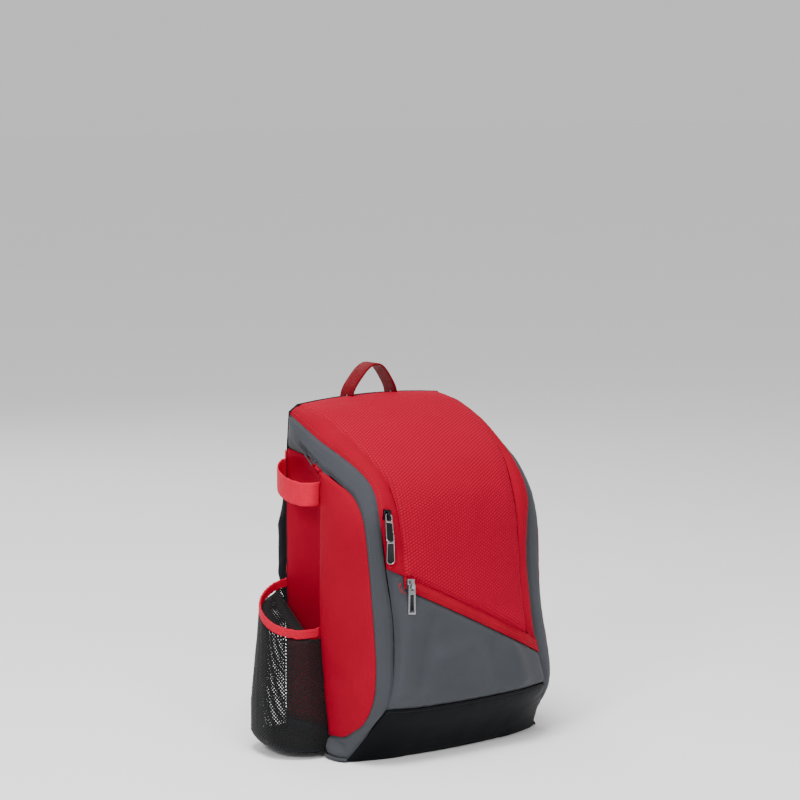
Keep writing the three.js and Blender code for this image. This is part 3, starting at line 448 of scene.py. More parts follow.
def woven(name, light, dark, axes, relief, roughness, sheen, shine="#ffffff"):
    """Plain-woven cloth: warp and weft cross along two axes, and the yarn's tone drifts from place to place.
    The pitch of 1.6 mm is four threads, since one alone is too fine to show."""
    material, tree, shader = new_material(name, Roughness=roughness, Sheen_Weight=sheen, Sheen_Roughness=0.5,
                                          Specular_IOR_Level=0.06, Sheen_Tint=colour(shine),
                                          Specular_Tint=colour(shine))
    place = add(tree, "ShaderNodeTexCoord").outputs["Object"]
    turns = [2 * math.pi / WEAVE_PITCH * share for share in axes]
    threads = add(tree, "ShaderNodeMapping", {"Scale": turns}, {"Vector": place})
    waves = add(tree, "ShaderNodeVectorMath", None, {0: threads.outputs[0]}, operation="SINE")
    weave = add(tree, "ShaderNodeVectorMath", {1: (0.5, 0.5, 0.5)}, {0: waves.outputs[0]},
                operation="DOT_PRODUCT")
    cloud = add(tree, "ShaderNodeTexNoise", {"Scale": 13.0, "Detail": 4.0}, {"Vector": place})
    yarn = add(tree, "ShaderNodeMath", {1: 0.07}, {0: weave.outputs["Value"], 2: cloud.outputs["Fac"]},
               operation="MULTIPLY_ADD")
    tone = add(tree, "ShaderNodeMapRange", {"From Min": 0.1, "From Max": 0.9}, {"Value": yarn.outputs[0]})
    base = add(tree, "ShaderNodeMix", {6: colour(dark), 7: colour(light)}, {0: tone.outputs[0]},
               data_type="RGBA")
    tree.links.new(base.outputs[2], shader.inputs["Base Color"])
    crumple = add(tree, "ShaderNodeTexNoise", {"Scale": 55.0, "Detail": 2.0}, {"Vector": place})
    soft = add(tree, "ShaderNodeBump", {"Strength": 0.3, "Distance": 0.0012},
               {"Height": crumple.outputs["Fac"]})
    fine = add(tree, "ShaderNodeBump", {"Strength": relief, "Distance": 0.0002},
               {"Height": weave.outputs["Value"], "Normal": soft.outputs[0]})
    tree.links.new(fine.outputs[0], shader.inputs["Normal"])
    return material


red_strip_cloth = woven("plain_woven_red_polyester_front", "#970b25", "#850920", FRONT_WEAVE, 0.12, 0.68, 0.06,
                        "#ff2840")
red_cloth = woven("plain_woven_red_polyester_side", "#930b24", "#82091f", SIDE_WEAVE, 0.12, 0.68, 0.06,
                  "#ff2840")

# Each strip with the seed of its folds, its cut length and its area: the right one runs on further down
for side, seed, length, area in (("left", 1.3, 0.3, 0.0068), ("right", 5.9, 0.4, 0.0089)):
    strip = cut_cloth("zip_strip_" + side, "zip_strip_cloth_" + side)
    seam = seam_line(strip, "side_band_" + side)
    sew(strip, Vector((seed, 2.2, 0.7)), pinch=0.0028, fold=0.001, size=0.05, full=0.0018)
    sheet = strip.data.copy()
    thicken(strip)
    wear(strip, red_strip_cloth, "plain_red", "zip_strip_" + side)
    stitch("strip_stitches_" + side, seam, surface_of(sheet), red_thread, inset=0.0035)

for side, sign, seed in (("left", -1, 8.2), ("right", 1, 4.4)):
    panel = cut_cloth("side_panel_" + side, "side_cloth_" + side)
    sew(panel, Vector((seed, 6.1, 3.3)), pinch=0.0018, fold=0.0024, size=0.09, full=0.0008, rolls=[
        ((sign * 0.139, -0.05, 0.29), (sign * 0.141, -0.02, 0.2), 0.0018, 0.018),
        ((sign * 0.141, -0.07, 0.2), (sign * 0.141, -0.045, 0.1), -0.0016, 0.016),
    ])
    thicken(panel)
    wear(panel, red_cloth, "plain_red", "side_panel_" + side)
    channel = cut_cloth("channel_panel_" + side, "channel_cloth_" + side)
    sew(channel, Vector((seed, 1.7, 9.1)), fold=0.0012, full=0.0)
    thicken(channel)
    wear(channel, red_cloth, "plain_red", "channel_panel_" + side)


# Grey bands: one long band of grey woven polyester runs up each side from the base, past the zip, to the
# back. A short cross seam joins its two lengths at the lower corner.
grey_cloth = woven("plain_woven_grey_polyester", "#3f4146", "#36383c", FRONT_WEAVE, 0.1, 0.6, 0.08)

for side, sign, seed in (("left", -1, 2.5), ("right", 1, 7.4)):
    band = cut_cloth("side_band_" + side, "side_band_cloth_" + side)
    inner = seam_line(band, "side_panel_" + side)
    sew(band, Vector((seed, 3.9, 1.2)), pinch=0.0034, pucker=0.0006, fold=0.0018, size=0.045, full=0.0014,
        rolls=[
        ((sign * 0.1415, -0.11, 0.071), (sign * 0.13, -0.116, 0.062), -0.0036, 0.0018),
        ((sign * 0.139, -0.108, 0.14), (sign * 0.128, -0.118, 0.136), -0.0008, 0.004),
        ((sign * 0.15, -0.075, 0.012), (sign * 0.146, -0.045, 0.03), -0.0046, 0.006),
        ((sign * 0.149, -0.06, 0.01), (sign * 0.148, -0.02, 0.016), 0.0034, 0.005),
        ((sign * 0.147, -0.09, 0.03), (sign * 0.148, -0.07, 0.05), 0.0032, 0.008),
        ((sign * 0.125, -0.07, 0.325), (sign * 0.12, -0.098, 0.3), -0.0012, 0.008),
    ])
    # The folds stay above the floor
    for vertex in band.data.vertices:
        vertex.co.z = max(vertex.co.z, 0.0)
    sheet = band.data.copy()
    thicken(band)
    wear(band, grey_cloth, "plain_grey", "side_band_" + side)
    stitch("band_stitches_" + side, inner, surface_of(sheet), grey_thread)


# Front pocket: a flat pocket of the same grey cloth below a slanting mouth.
# It is sewn into the bands at its sides and to the base, and hangs in a few long soft folds.
pocket = cut_cloth("front_pocket", "front_pocket_cloth")
base_seam = sorted(seam_line(pocket, "base_panel"), key=lambda p: p.x)
sew(pocket, Vector((6.6, 2.8, 4.9)), pinch=0.0034, pucker=0.0006, fold=0.003, size=0.07, full=0.0016, rolls=[
    ((-0.088, -0.118, 0.18), (-0.101, -0.116, 0.085), 0.0052, 0.01),
    ((-0.058, -0.127, 0.16), (-0.078, -0.124, 0.09), -0.005, 0.011),
    ((-0.045, -0.128, 0.12), (-0.005, -0.129, 0.128), 0.0034, 0.011),
    ((0.028, -0.128, 0.125), (0.034, -0.124, 0.085), -0.0046, 0.01),
    ((0.06, -0.126, 0.118), (0.075, -0.122, 0.08), 0.0042, 0.011),
    ((-0.02, -0.126, 0.086), (0.05, -0.125, 0.082), -0.002, 0.01),
])
pocket_sheet = pocket.data.copy()
thicken(pocket)
wear(pocket, grey_cloth, "plain_grey", "front_pocket")
stitch("pocket_base_stitches", base_seam, surface_of(pocket_sheet), grey_thread)

# The end of the zip is held by a double ring of red stitches, 9 mm across
RING_RADIUS, RING_PARTS = 0.0045, 12
ring_middle = Vector((-0.0935, -0.118, 0.2065))
for i, radius in enumerate((RING_RADIUS, RING_RADIUS * 0.72)):
    turns = [t / RING_PARTS * math.tau for t in range(RING_PARTS + 1)]
    ring = [ring_middle + Vector((math.cos(t) * radius, 0, math.sin(t) * radius)) for t in turns]
    stitch(f"zip_end_stitches_{i}", ring, surface_of(pocket_sheet), red_thread, inset=0.0, pitch=0.0021)


# Pocket zip: a red tape with its coil turned inwards, rolled over at the mouth so that it stands a little
# proud. The cloth above overhangs it.

# Woven tape: matt, with fine ribs in a herringbone, 1.5 mm apart
RIB_PITCH = 0.0015
tape_cloth, tree, shader = new_material("woven_red_zip_tape", Roughness=0.65, Sheen_Weight=0.06,
                                        Sheen_Roughness=0.5, Specular_IOR_Level=0.12,
                                        Sheen_Tint=colour("#ff2840"), Specular_Tint=colour("#ff2840"))
place = add(tree, "ShaderNodeTexCoord").outputs["Object"]
# The ribs run along the tape, which falls 26 degrees across the front
slanted = add(tree, "ShaderNodeMapping", {"Rotation": (0, math.radians(-26.2), 0)}, {"Vector": place})
ribs = add(tree, "ShaderNodeTexWave", {"Scale": 1 / RIB_PITCH / 20 * math.pi, "Distortion": 0.4, "Detail": 1.0},
           {"Vector": slanted.outputs[0]}, bands_direction="Z")
cloud = add(tree, "ShaderNodeTexNoise", {"Scale": 30.0, "Detail": 3.0}, {"Vector": place})
mixed = add(tree, "ShaderNodeMath", {1: 0.35}, {0: ribs.outputs["Fac"], 2: cloud.outputs["Fac"]},
            operation="MULTIPLY_ADD")
tone = add(tree, "ShaderNodeMapRange", {"From Min": 0.2, "From Max": 1.1}, {"Value": mixed.outputs[0]})
base = add(tree, "ShaderNodeMix", {6: colour("#7c0a1c"), 7: colour("#9c1026")}, {0: tone.outputs[0]},
           data_type="RGBA")
tree.links.new(base.outputs[2], shader.inputs["Base Color"])
rib_relief = add(tree, "ShaderNodeBump", {"Strength": 0.5, "Distance": 0.0003},
                 {"Height": ribs.outputs["Fac"]})
tree.links.new(rib_relief.outputs[0], shader.inputs["Normal"])

tape = cut_cloth("pocket_zip", "pocket_zip_tape")
sew(tape, Vector((0.5, 0.9, 2.1)), pinch=0.0016, pucker=0.0003, fold=0.0003, size=0.03, full=0.0012)
thicken(tape)
wear(tape, tape_cloth, "zip_tape", "pocket_zip")


# Base: one piece of coated cloth that is flat under the bag and turns up at the front.
# The coating is a thin, slightly grained film, so it shines more than the cloth.
coated, tree, shader = new_material("coated_black_polyester", Roughness=0.42, Specular_IOR_Level=0.06)
place = add(tree, "ShaderNodeTexCoord").outputs["Object"]
grain = add(tree, "ShaderNodeTexVoronoi", {"Scale": 700.0}, {"Vector": place})
cloud = add(tree, "ShaderNodeTexNoise", {"Scale": 18.0, "Detail": 4.0}, {"Vector": place})
base = add(tree, "ShaderNodeMix", {6: colour("#050609"), 7: colour("#0b0c11")}, {0: cloud.outputs["Fac"]},
           data_type="RGBA")
tree.links.new(base.outputs[2], shader.inputs["Base Color"])
scuffs = add(tree, "ShaderNodeMapRange", {"To Min": 0.36, "To Max": 0.55}, {"Value": cloud.outputs["Fac"]})
tree.links.new(scuffs.outputs[0], shader.inputs["Roughness"])
crumple = add(tree, "ShaderNodeTexNoise", {"Scale": 45.0, "Detail": 2.0}, {"Vector": place})
soft = add(tree, "ShaderNodeBump", {"Strength": 0.35, "Distance": 0.0012}, {"Height": crumple.outputs["Fac"]})
fine = add(tree, "ShaderNodeBump", {"Strength": 0.25, "Distance": 0.0002},
           {"Height": grain.outputs["Distance"], "Normal": soft.outputs[0]})
tree.links.new(fine.outputs[0], shader.inputs["Normal"])

bottom = cut_cloth("base_panel", "base_cloth")
upper_edge = sorted(seam_line(bottom, "front_pocket"), key=lambda p: p.x)
sew(bottom, Vector((9.3, 5.2, 6.4)), pinch=0.001, fold=0.0011, size=0.07, full=0.0008)
# The cloth lies on the floor and never below it
for vertex in bottom.data.vertices:
    vertex.co.z = max(vertex.co.z, 0.0)
bottom_sheet = bottom.data.copy()
thicken(bottom)
wear(bottom, coated, "coated_black", "base_panel")
stitch("base_stitches", upper_edge, surface_of(bottom_sheet), black_thread)


# Back panel: foam pads under spacer mesh, held by sewn channels, in a border of plain black cloth.
# It is the side that rests on the wearer's back.
black_cloth = woven("plain_woven_black_polyester", "#1b1c20", "#111215", FRONT_WEAVE, 0.4, 0.7, 0.08)

# Spacer mesh: a knit with small round holes 4 mm apart, black and matt, with painted shade that colours the
# holes darker
HOLE_PITCH = 0.004
spacer, tree, shader = new_material("black_spacer_mesh", Roughness=0.85, Sheen_Weight=0.1,
                                    Specular_IOR_Level=0.12)
place = add(tree, "ShaderNodeTexCoord").outputs["Object"]
wave = 2 * math.pi / (HOLE_PITCH * math.cos(math.radians(30)))
rows = []
for turn in (-60, 0, 60):
    angle = math.radians(turn)
    run = add(tree, "ShaderNodeVectorMath", {1: (math.cos(angle) * wave, 0, math.sin(angle) * wave)},
              {0: place}, operation="DOT_PRODUCT")
    rows.append(add(tree, "ShaderNodeMath", None, {0: run.outputs["Value"]}, operation="COSINE").outputs[0])
pair = add(tree, "ShaderNodeMath", None, {0: rows[0], 1: rows[1]}, operation="ADD")
knit = add(tree, "ShaderNodeMath", None, {0: pair.outputs[0], 1: rows[2]}, operation="ADD")
hole = add(tree, "ShaderNodeMapRange", {"From Min": 0.6, "From Max": 1.6, "To Min": 1.0, "To Max": 0.0},
           {"Value": knit.outputs[0]})
# Painted shade: the holes are coloured darker (#060607) than the knit around them (#26272b)
base = add(tree, "ShaderNodeMix", {6: colour("#060607"), 7: colour("#26272b")}, {0: hole.outputs[0]},
           data_type="RGBA")
tree.links.new(base.outputs[2], shader.inputs["Base Color"])
dip = add(tree, "ShaderNodeBump", {"Strength": 0.8, "Distance": 0.0008}, {"Height": hole.outputs[0]})
tree.links.new(dip.outputs[0], shader.inputs["Normal"])

back = cut_cloth("back_panel", "back_pad_cloth", levels=0)
take(back)
low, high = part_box("back_panel")
BACK_CELL, BACK_WALL = 0.006, 0.002
for axis, first, last in ((0, low.x, high.x), (2, low.z, high.z)):
    count = round((last - first) / BACK_CELL)
    for i in range(1, count):
        at, facing = [0, 0, 0], [0, 0, 0]
        at[axis] = first + (last - first) * i / count
        facing[axis] = 1
        bpy.ops.object.mode_set(mode="EDIT")
        bpy.ops.mesh.select_all(action="SELECT")
        bpy.ops.mesh.bisect(plane_co=at, plane_no=facing)
        bpy.ops.object.mode_set(mode="OBJECT")
# Half the width of the hollow down the middle, the plain border, and the heights of the sewn cross channels
SPINE_HALF = 0.03
PAD_EDGE, SIDE_SEAM = 0.016, 0.012
CHANNELS = (0.105, 0.205, 0.305)
CHANNEL_DEPTH, CHANNEL_HALF = 0.0032, 0.006
BORDER_DEPTH = 0.0012


def to_border(point):
    """How far a place on the back lies from the panel's edge."""
    return min(high.x - SIDE_SEAM - abs(point.x), point.z - low.z, high.z - point.z)


for vertex in back.data.vertices:
    x, z = abs(vertex.co.x), vertex.co.z
    border = to_border(vertex.co)
    seams = [abs(x - SPINE_HALF), abs(border - PAD_EDGE)]
    seams += [abs(z - level) for level in CHANNELS] if x > SPINE_HALF else []
    press = max(math.exp(-(seam / CHANNEL_HALF) ** 2) for seam in seams)
    inside = eased((border - PAD_EDGE) / 0.004)
    vertex.co.y -= CHANNEL_DEPTH * press + BORDER_DEPTH * (1 - inside)
thicken(back, BACK_WALL)
wear(back, black_cloth, "plain_black", "back_panel")
back.data.materials.append(spacer)
for face in back.data.polygons:
    face.material_index = 1 if to_border(face.center) > PAD_EDGE else 0


# Bat pockets: knitted sports net on each side, open at the top, with a plain cloth floor.
# The net is one piece of knitted cord with holes about 3 mm wide, gathered to the floor and the side seams.
net_cord, tree, shader = new_material("black_knitted_net", Roughness=0.6, Sheen_Weight=0.04,
                                      Specular_IOR_Level=0.12)
place = add(tree, "ShaderNodeTexCoord").outputs["Object"]
yarn = add(tree, "ShaderNodeTexNoise", {"Scale": 900.0, "Detail": 2.0}, {"Vector": place})
base = add(tree, "ShaderNodeMix", {6: colour("#0a0a0b"), 7: colour("#1a1b1c")}, {0: yarn.outputs["Fac"]},
           data_type="RGBA")
tree.links.new(base.outputs[2], shader.inputs["Base Color"])
twist = add(tree, "ShaderNodeBump", {"Strength": 0.5, "Distance": 0.0003}, {"Height": yarn.outputs["Fac"]})
tree.links.new(twist.outputs[0], shader.inputs["Normal"])

# The net's cells, and half the width of the cord between two holes
NET_CELL, NET_CORD, NET_WALL = 0.0041, 0.00062, 0.0009
FLOOR_WALL, RIM_WIDTH = 0.004, 0.011
# Rounds are looked at from outside, half a degree at a time from the front to the back
LOOK_FROM = 0.16
HALF_TURN = [math.radians(a / 2) for a in range(361)]


def side_point(surface, sign, middle, z, turn):
    """The outside of a round at one height, in one direction from its middle, or None where it is open."""
    out = Vector((math.sin(turn) * sign, -math.cos(turn), 0))
    return surface.ray_cast(Vector((middle.x, middle.y, z)) + out * LOOK_FROM, -out, LOOK_FROM)[0]


def mouth(y, rim_low, rim_high):
    """The height of the slanting pocket mouth at one place from front to back."""
    part = min(max((y - rim_low.y) / (rim_high.y - rim_low.y), 0), 1)
    return rim_low.z + (rim_high.z - RIM_WIDTH - rim_low.z) * part


for side, sign in (("left", -1), ("right", 1)):
    surface = surface_of(frame["nodes"]["bat_pocket_" + side].data)
    low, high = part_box("bat_pocket_" + side)
    inner_x = high.x if sign < 0 else low.x
    middle = Vector((inner_x - sign * 0.004, (low.y + high.y) / 2, 0))
    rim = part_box("pocket_binding_" + side)
    floor_top = low.z + FLOOR_WALL
    rows = round((mouth(middle.y, *rim) - floor_top) / NET_CELL)
    columns = 0
    grid = []
    for r in range(rows + 1):
        line = []
        for turn in HALF_TURN:
            # The mouth's height depends on y, and y on the height, so the two are found together
            y = middle.y - math.cos(turn) * 0.05
            for _ in range(3):
                z = floor_top + (mouth(y, *rim) - 0.001 - floor_top) * r / rows
                point = side_point(surface, sign, middle, z, turn)
                if point is None:
                    break
                y = point.y
            if point is not None:
                line.append(point)
        length = sum((b - a).length for a, b in zip(line, line[1:]))
        columns = columns or round(length / NET_CELL)
        # The step is a hair short, so that the last point isn't lost
        line = even(line, length / columns * 0.9999)[:columns + 1]
        line += [line[-1]] * (columns + 1 - len(line))
        grid.append(line)
    verts = [p for row in grid for p in row]
    wide = columns + 1
    quads = [(r * wide + c, r * wide + c + 1, (r + 1) * wide + c + 1, (r + 1) * wide + c)
             for r in range(rows) for c in range(wide - 1)]
    if sign > 0:
        quads = [q[::-1] for q in quads]
    net_mesh = bpy.data.meshes.new("bat_pocket_net_" + side)
    net_mesh.from_pydata(verts, [], quads)
    net = bpy.data.objects.new("bat_pocket_net_" + side, net_mesh)
    bpy.context.scene.collection.objects.link(net)
    take(net)
    knots = len(verts)
    bpy.ops.object.mode_set(mode="EDIT")
    bpy.ops.mesh.select_mode(type="FACE")
    bpy.ops.mesh.select_all(action="SELECT")
    bpy.ops.mesh.poke()
    bpy.ops.mesh.select_mode(type="EDGE")
    bpy.ops.mesh.select_all(action="DESELECT")
    bpy.ops.object.mode_set(mode="OBJECT")
    shared = {}
    for face in net.data.polygons:
        for key in face.edge_keys:
            shared[key] = shared.get(key, 0) + 1
    for edge in net.data.edges:
        edge.select = edge.vertices[0] < knots and edge.vertices[1] < knots and shared[edge.key] == 2
    bpy.ops.object.mode_set(mode="EDIT")
    bpy.ops.mesh.dissolve_edges(use_verts=False)
    bpy.ops.mesh.select_mode(type="FACE")
    bpy.ops.mesh.select_all(action="SELECT")
    bpy.ops.mesh.inset(thickness=NET_CORD, depth=0, use_individual=True, use_boundary=True)
    bpy.ops.mesh.delete(type="FACE")
    bpy.ops.object.mode_set(mode="OBJECT")
    thicken(net, NET_WALL)

    # The floor tray is the lowest part of the pocket's solid, closed on top
    tray = copy_node("bat_pocket_" + side, "bat_pocket_floor_" + side)
    bpy.ops.object.mode_set(mode="EDIT")
    bpy.ops.mesh.select_all(action="SELECT")
    bpy.ops.mesh.bisect(plane_co=(0, 0, floor_top + 0.003), plane_no=(0, 0, 1), use_fill=True,
                        clear_outer=True)
    bpy.ops.object.mode_set(mode="OBJECT")
    bpy.ops.object.shade_smooth_by_angle(angle=math.radians(50))
    tray.data.materials.append(black_cloth)
    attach(tray, "bag")
    wear(net, net_cord, "net", "bat_pocket_" + side)


# Pocket bindings: a red elastic tape folded over the net's top edge and sewn through.
# The elastic draws the mouth in, so the tape is finely gathered.
UP = Vector((0, 0, 1))
RIBBON_CELLS = 6
GATHER_PITCH = 0.004


def ribbon(name, line, across, width, wall, gather=0.0):
    """A woven tape along a line of points, its width lying along one direction, with a real thickness.
    Elastic gathers it in small waves, deepest at its edges."""
    verts, run = [], 0.0
    for i, point in enumerate(line):
        ahead = (line[min(i + 1, len(line) - 1)] - line[max(i - 1, 0)]).normalized()
        facing = ahead.cross(across).normalized()
        run += (point - line[i - 1]).length if i else 0
        for k in range(RIBBON_CELLS + 1):
            u = k / RIBBON_CELLS * 2 - 1
            lift = gather * math.sin(2 * math.pi * run / GATHER_PITCH) * (0.4 + 0.6 * abs(u))
            verts.append(point + across * (u * width / 2) + facing * lift)
    row = RIBBON_CELLS + 1
    quads = [(i * row + k, (i + 1) * row + k, (i + 1) * row + k + 1, i * row + k + 1)
             for i in range(len(line) - 1) for k in range(RIBBON_CELLS)]
    mesh = bpy.data.meshes.new(name)
    mesh.from_pydata(verts, [], quads)
    piece = bpy.data.objects.new(name, mesh)
    bpy.context.scene.collection.objects.link(piece)
    take(piece)
    step = piece.modifiers.new("wall", "SOLIDIFY")
    step.thickness = wall
    step.offset = 0
    bpy.ops.object.modifier_apply(modifier=step.name)
    smooth(piece, 1)
    bpy.ops.object.mode_set(mode="EDIT")
    bpy.ops.mesh.select_all(action="SELECT")
    bpy.ops.mesh.normals_make_consistent(inside=False)
    bpy.ops.object.mode_set(mode="OBJECT")
    return piece


def webbing(name, light, dark, ribs, cross, shine="#ffffff"):
    """Woven webbing: raised columns of yarn along it, crossed by fine picks, with a satin gloss.
    The ribs' pitches and their shares are given along X, Y and Z."""
    material, tree, shader = new_material(name, Roughness=0.58, Sheen_Weight=0.08, Sheen_Roughness=0.4,
                                          Specular_IOR_Level=0.14, Sheen_Tint=colour(shine),
                                          Specular_Tint=colour(shine))
    place = add(tree, "ShaderNodeTexCoord").outputs["Object"]
    turns = [2 * math.pi / p for p in ribs]
    columns = add(tree, "ShaderNodeMapping", {"Scale": turns}, {"Vector": place})
    waves = add(tree, "ShaderNodeVectorMath", None, {0: columns.outputs[0]}, operation="SINE")
    weave = add(tree, "ShaderNodeVectorMath", {1: cross}, {0: waves.outputs[0]}, operation="DOT_PRODUCT")
    cloud = add(tree, "ShaderNodeTexNoise", {"Scale": 40.0, "Detail": 3.0}, {"Vector": place})
    yarn = add(tree, "ShaderNodeMath", {1: 0.3}, {0: weave.outputs["Value"], 2: cloud.outputs["Fac"]},
               operation="MULTIPLY_ADD")
    tone = add(tree, "ShaderNodeMapRange", None, {"Value": yarn.outputs[0]})
    base = add(tree, "ShaderNodeMix", {6: colour(dark), 7: colour(light)}, {0: tone.outputs[0]},
               data_type="RGBA")
    tree.links.new(base.outputs[2], shader.inputs["Base Color"])
    relief = add(tree, "ShaderNodeBump", {"Strength": 0.5, "Distance": 0.0004},
                 {"Height": weave.outputs["Value"]})
    tree.links.new(relief.outputs[0], shader.inputs["Normal"])
    return material


def round_line(node, sign, wall, sink):
    """The middle line of a tape that goes round a side, from its CAD node, with its ends let into the seams."""
    surface = surface_of(frame["nodes"][node].data)
    low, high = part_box(node)
    inner_x = high.x if sign < 0 else low.x
    middle = Vector((inner_x - sign * 0.002, (low.y + high.y) / 2, 0))
    levels = [low.z + (high.z - low.z) * k / 30 for k in range(31)]
    points = []
    for turn in HALF_TURN:
        found = [side_point(surface, sign, middle, z, turn) for z in levels]
        found = [p for p in found if p is not None]
        if found:
            points.append(sum(found, Vector()) / len(found))
    line = []
    for i, point in enumerate(points):
        ahead = (points[min(i + 3, len(points) - 1)] - points[max(i - 3, 0)]).normalized()
        out = Vector((ahead.y, -ahead.x, 0)).normalized() * sign
        if out.x * sign < -0.9:
            out = -out
        line.append(point - out * wall / 2)
    line = even(line, 0.0025)
    first = line[0] + (line[0] - line[2]).normalized() * sink
    last = line[-1] + (line[-1] - line[-3]).normalized() * sink
    return [first, *line, last]


BINDING_WIDTH, BINDING_WALL = 0.0107, 0.0026
elastic = webbing("red_elastic_binding", "#c01233", "#a50f2a", (0.0013, 0.0013, 0.0026), (0.3, 0.3, 0.4),
                  "#ff2840")
for side, sign in (("left", -1), ("right", 1)):
    line = round_line("pocket_binding_" + side, sign, BINDING_WALL, 0.002)
    tape = ribbon("pocket_binding_tape_" + side, line, UP, BINDING_WIDTH, BINDING_WALL, gather=0.00015)
    wear(tape, elastic, "red_binding", "pocket_binding_" + side)
    path = [p + UP * -0.0035 for p in line]
    stitch("binding_stitches_low_" + side, path, surface_of(tape.data), red_thread, inset=0.0)


# Bat straps: a loop of red webbing on each side that holds the taper of a bat against the bag.
# Its ends are caught in the side seam and the back seam.
STRAP_WIDTH, STRAP_WALL = 0.028, 0.002
red_webbing = webbing("red_polyester_webbing", "#cc1437", "#b6112f", (0.0016, 0.0016, 0.0016),
                      (0.15, 0.15, 0.6), "#ff2840")
for side, sign in (("left", -1), ("right", 1)):
    line = round_line("bat_strap_" + side, sign, STRAP_WALL, 0.003)
    strap = ribbon("bat_strap_webbing_" + side, line, UP, STRAP_WIDTH, STRAP_WALL)
    wear(strap, red_webbing, "red_webbing", "bat_strap_" + side)
    for end, middle in (("front", line[2]), ("back", line[-4])):
        column = [middle + UP * lift for lift in (-0.012, -0.004, 0.004, 0.012)]
        stitch(f"bat_strap_stitches_{end}_{side}", column, surface_of(strap.data), red_thread, inset=0.0,
               pitch=0.003)


# Handle: a short length of red webbing, folded and sewn into the seam behind the lid.
# It stands up by its own stiffness.
def merge_flats(piece):
    """Joins a CAD copy's triangles into whole flat faces, so that only real edges are rounded."""
    take(piece)
    bpy.ops.object.mode_set(mode="EDIT")
    bpy.ops.mesh.select_all(action="SELECT")
    bpy.ops.mesh.dissolve_limited(angle_limit=math.radians(1))
    bpy.ops.object.mode_set(mode="OBJECT")


def round_edges(piece, width, segments, bend=30, shade=40):
    """Rounds the edges that bend more than an angle."""
    take(piece)
    step = piece.modifiers.new("rounded_edges", "BEVEL")
    step.width = width
    step.segments = segments
    step.limit_method = "ANGLE"
    step.angle_limit = math.radians(bend)
    bpy.ops.object.modifier_apply(modifier=step.name)
    bpy.ops.object.shade_smooth_by_angle(angle=math.radians(shade))


# The same red webbing with painted shade: a darker copy, as the handle is turned from the light
shaded_red_webbing = webbing("painted_shade_red_webbing", "#6e0c18", "#540910", (0.0016, 0.0016, 0.0016), (0.15, 0.6, 0.15),
                       "#ff2840")
handle = copy_node("handle", "handle_webbing")
merge_flats(handle)
low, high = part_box("handle")
middle, half = (low.y + high.y) / 2, (high.y - low.y) / 2
bpy.ops.object.mode_set(mode="EDIT")
for place in (-0.3, 0.3):
    bpy.ops.mesh.select_all(action="SELECT")
    bpy.ops.mesh.bisect(plane_co=(0, middle + half * place, 0), plane_no=(0, 1, 0))
bpy.ops.object.mode_set(mode="OBJECT")
# The feet go on 3 mm further into the seam
for vertex in handle.data.vertices:
    if vertex.co.z < low.z + 0.006:
        vertex.co.z -= 0.003
round_edges(handle, 0.0007, 2, bend=40)
# The handle wears the darker copy of the red webbing: painted shade
wear(handle, shaded_red_webbing, "red_webbing", "handle")


# Shoulder straps: foam between black cloth and spacer mesh, shaped to the shoulder.
# They are sewn to the back panel at the top, and narrow to the buckle.
FILLING_STEPS = 20
MOST_SWELL = 0.004


def inflate(piece, held):
    """Fills a closed shape by cloth simulation, with one set of its points held."""
    before = [v.co.copy() for v in piece.data.vertices]
    group = piece.vertex_groups.new(name="held")
    group.add([v.index for v in piece.data.vertices if held(v.co)], 1.0, "REPLACE")
    take(piece)
    cloth = piece.modifiers.new("filling", "CLOTH")
    cloth.settings.quality = 6
    cloth.settings.use_pressure = True
    cloth.settings.uniform_pressure_force = 4
    cloth.settings.effector_weights.gravity = 0
    cloth.settings.vertex_group_mass = "held"
    cloth.settings.tension_stiffness = 20
    cloth.settings.compression_stiffness = 20
    cloth.settings.bending_stiffness = 2
    cloth.point_cache.frame_end = FILLING_STEPS
    for step in range(1, FILLING_STEPS + 1):
        bpy.context.scene.frame_set(step)
    bpy.ops.object.modifier_apply(modifier=cloth.name)
    bpy.context.scene.frame_set(1)
    for vertex, start in zip(piece.data.vertices, before):
        move = vertex.co - start
        if move.length > MOST_SWELL:
            vertex.co = start + move.normalized() * MOST_SWELL


strap_cloth = woven("padded_black_strap_cloth", "#1d1e22", "#121317", FRONT_WEAVE, 0.5, 0.75, 0.1)
black_webbing = webbing("black_polypropylene_webbing", "#1d1e21", "#0f1012", (0.0024, 0.0012, 0.0012),
                        (0.6, 0.3, 0.3))
# The pad starts 0.8 mm slimmer than it ends, since the filling swells it
SLIMMER, PAD_CELL = 0.0008, 0.0045
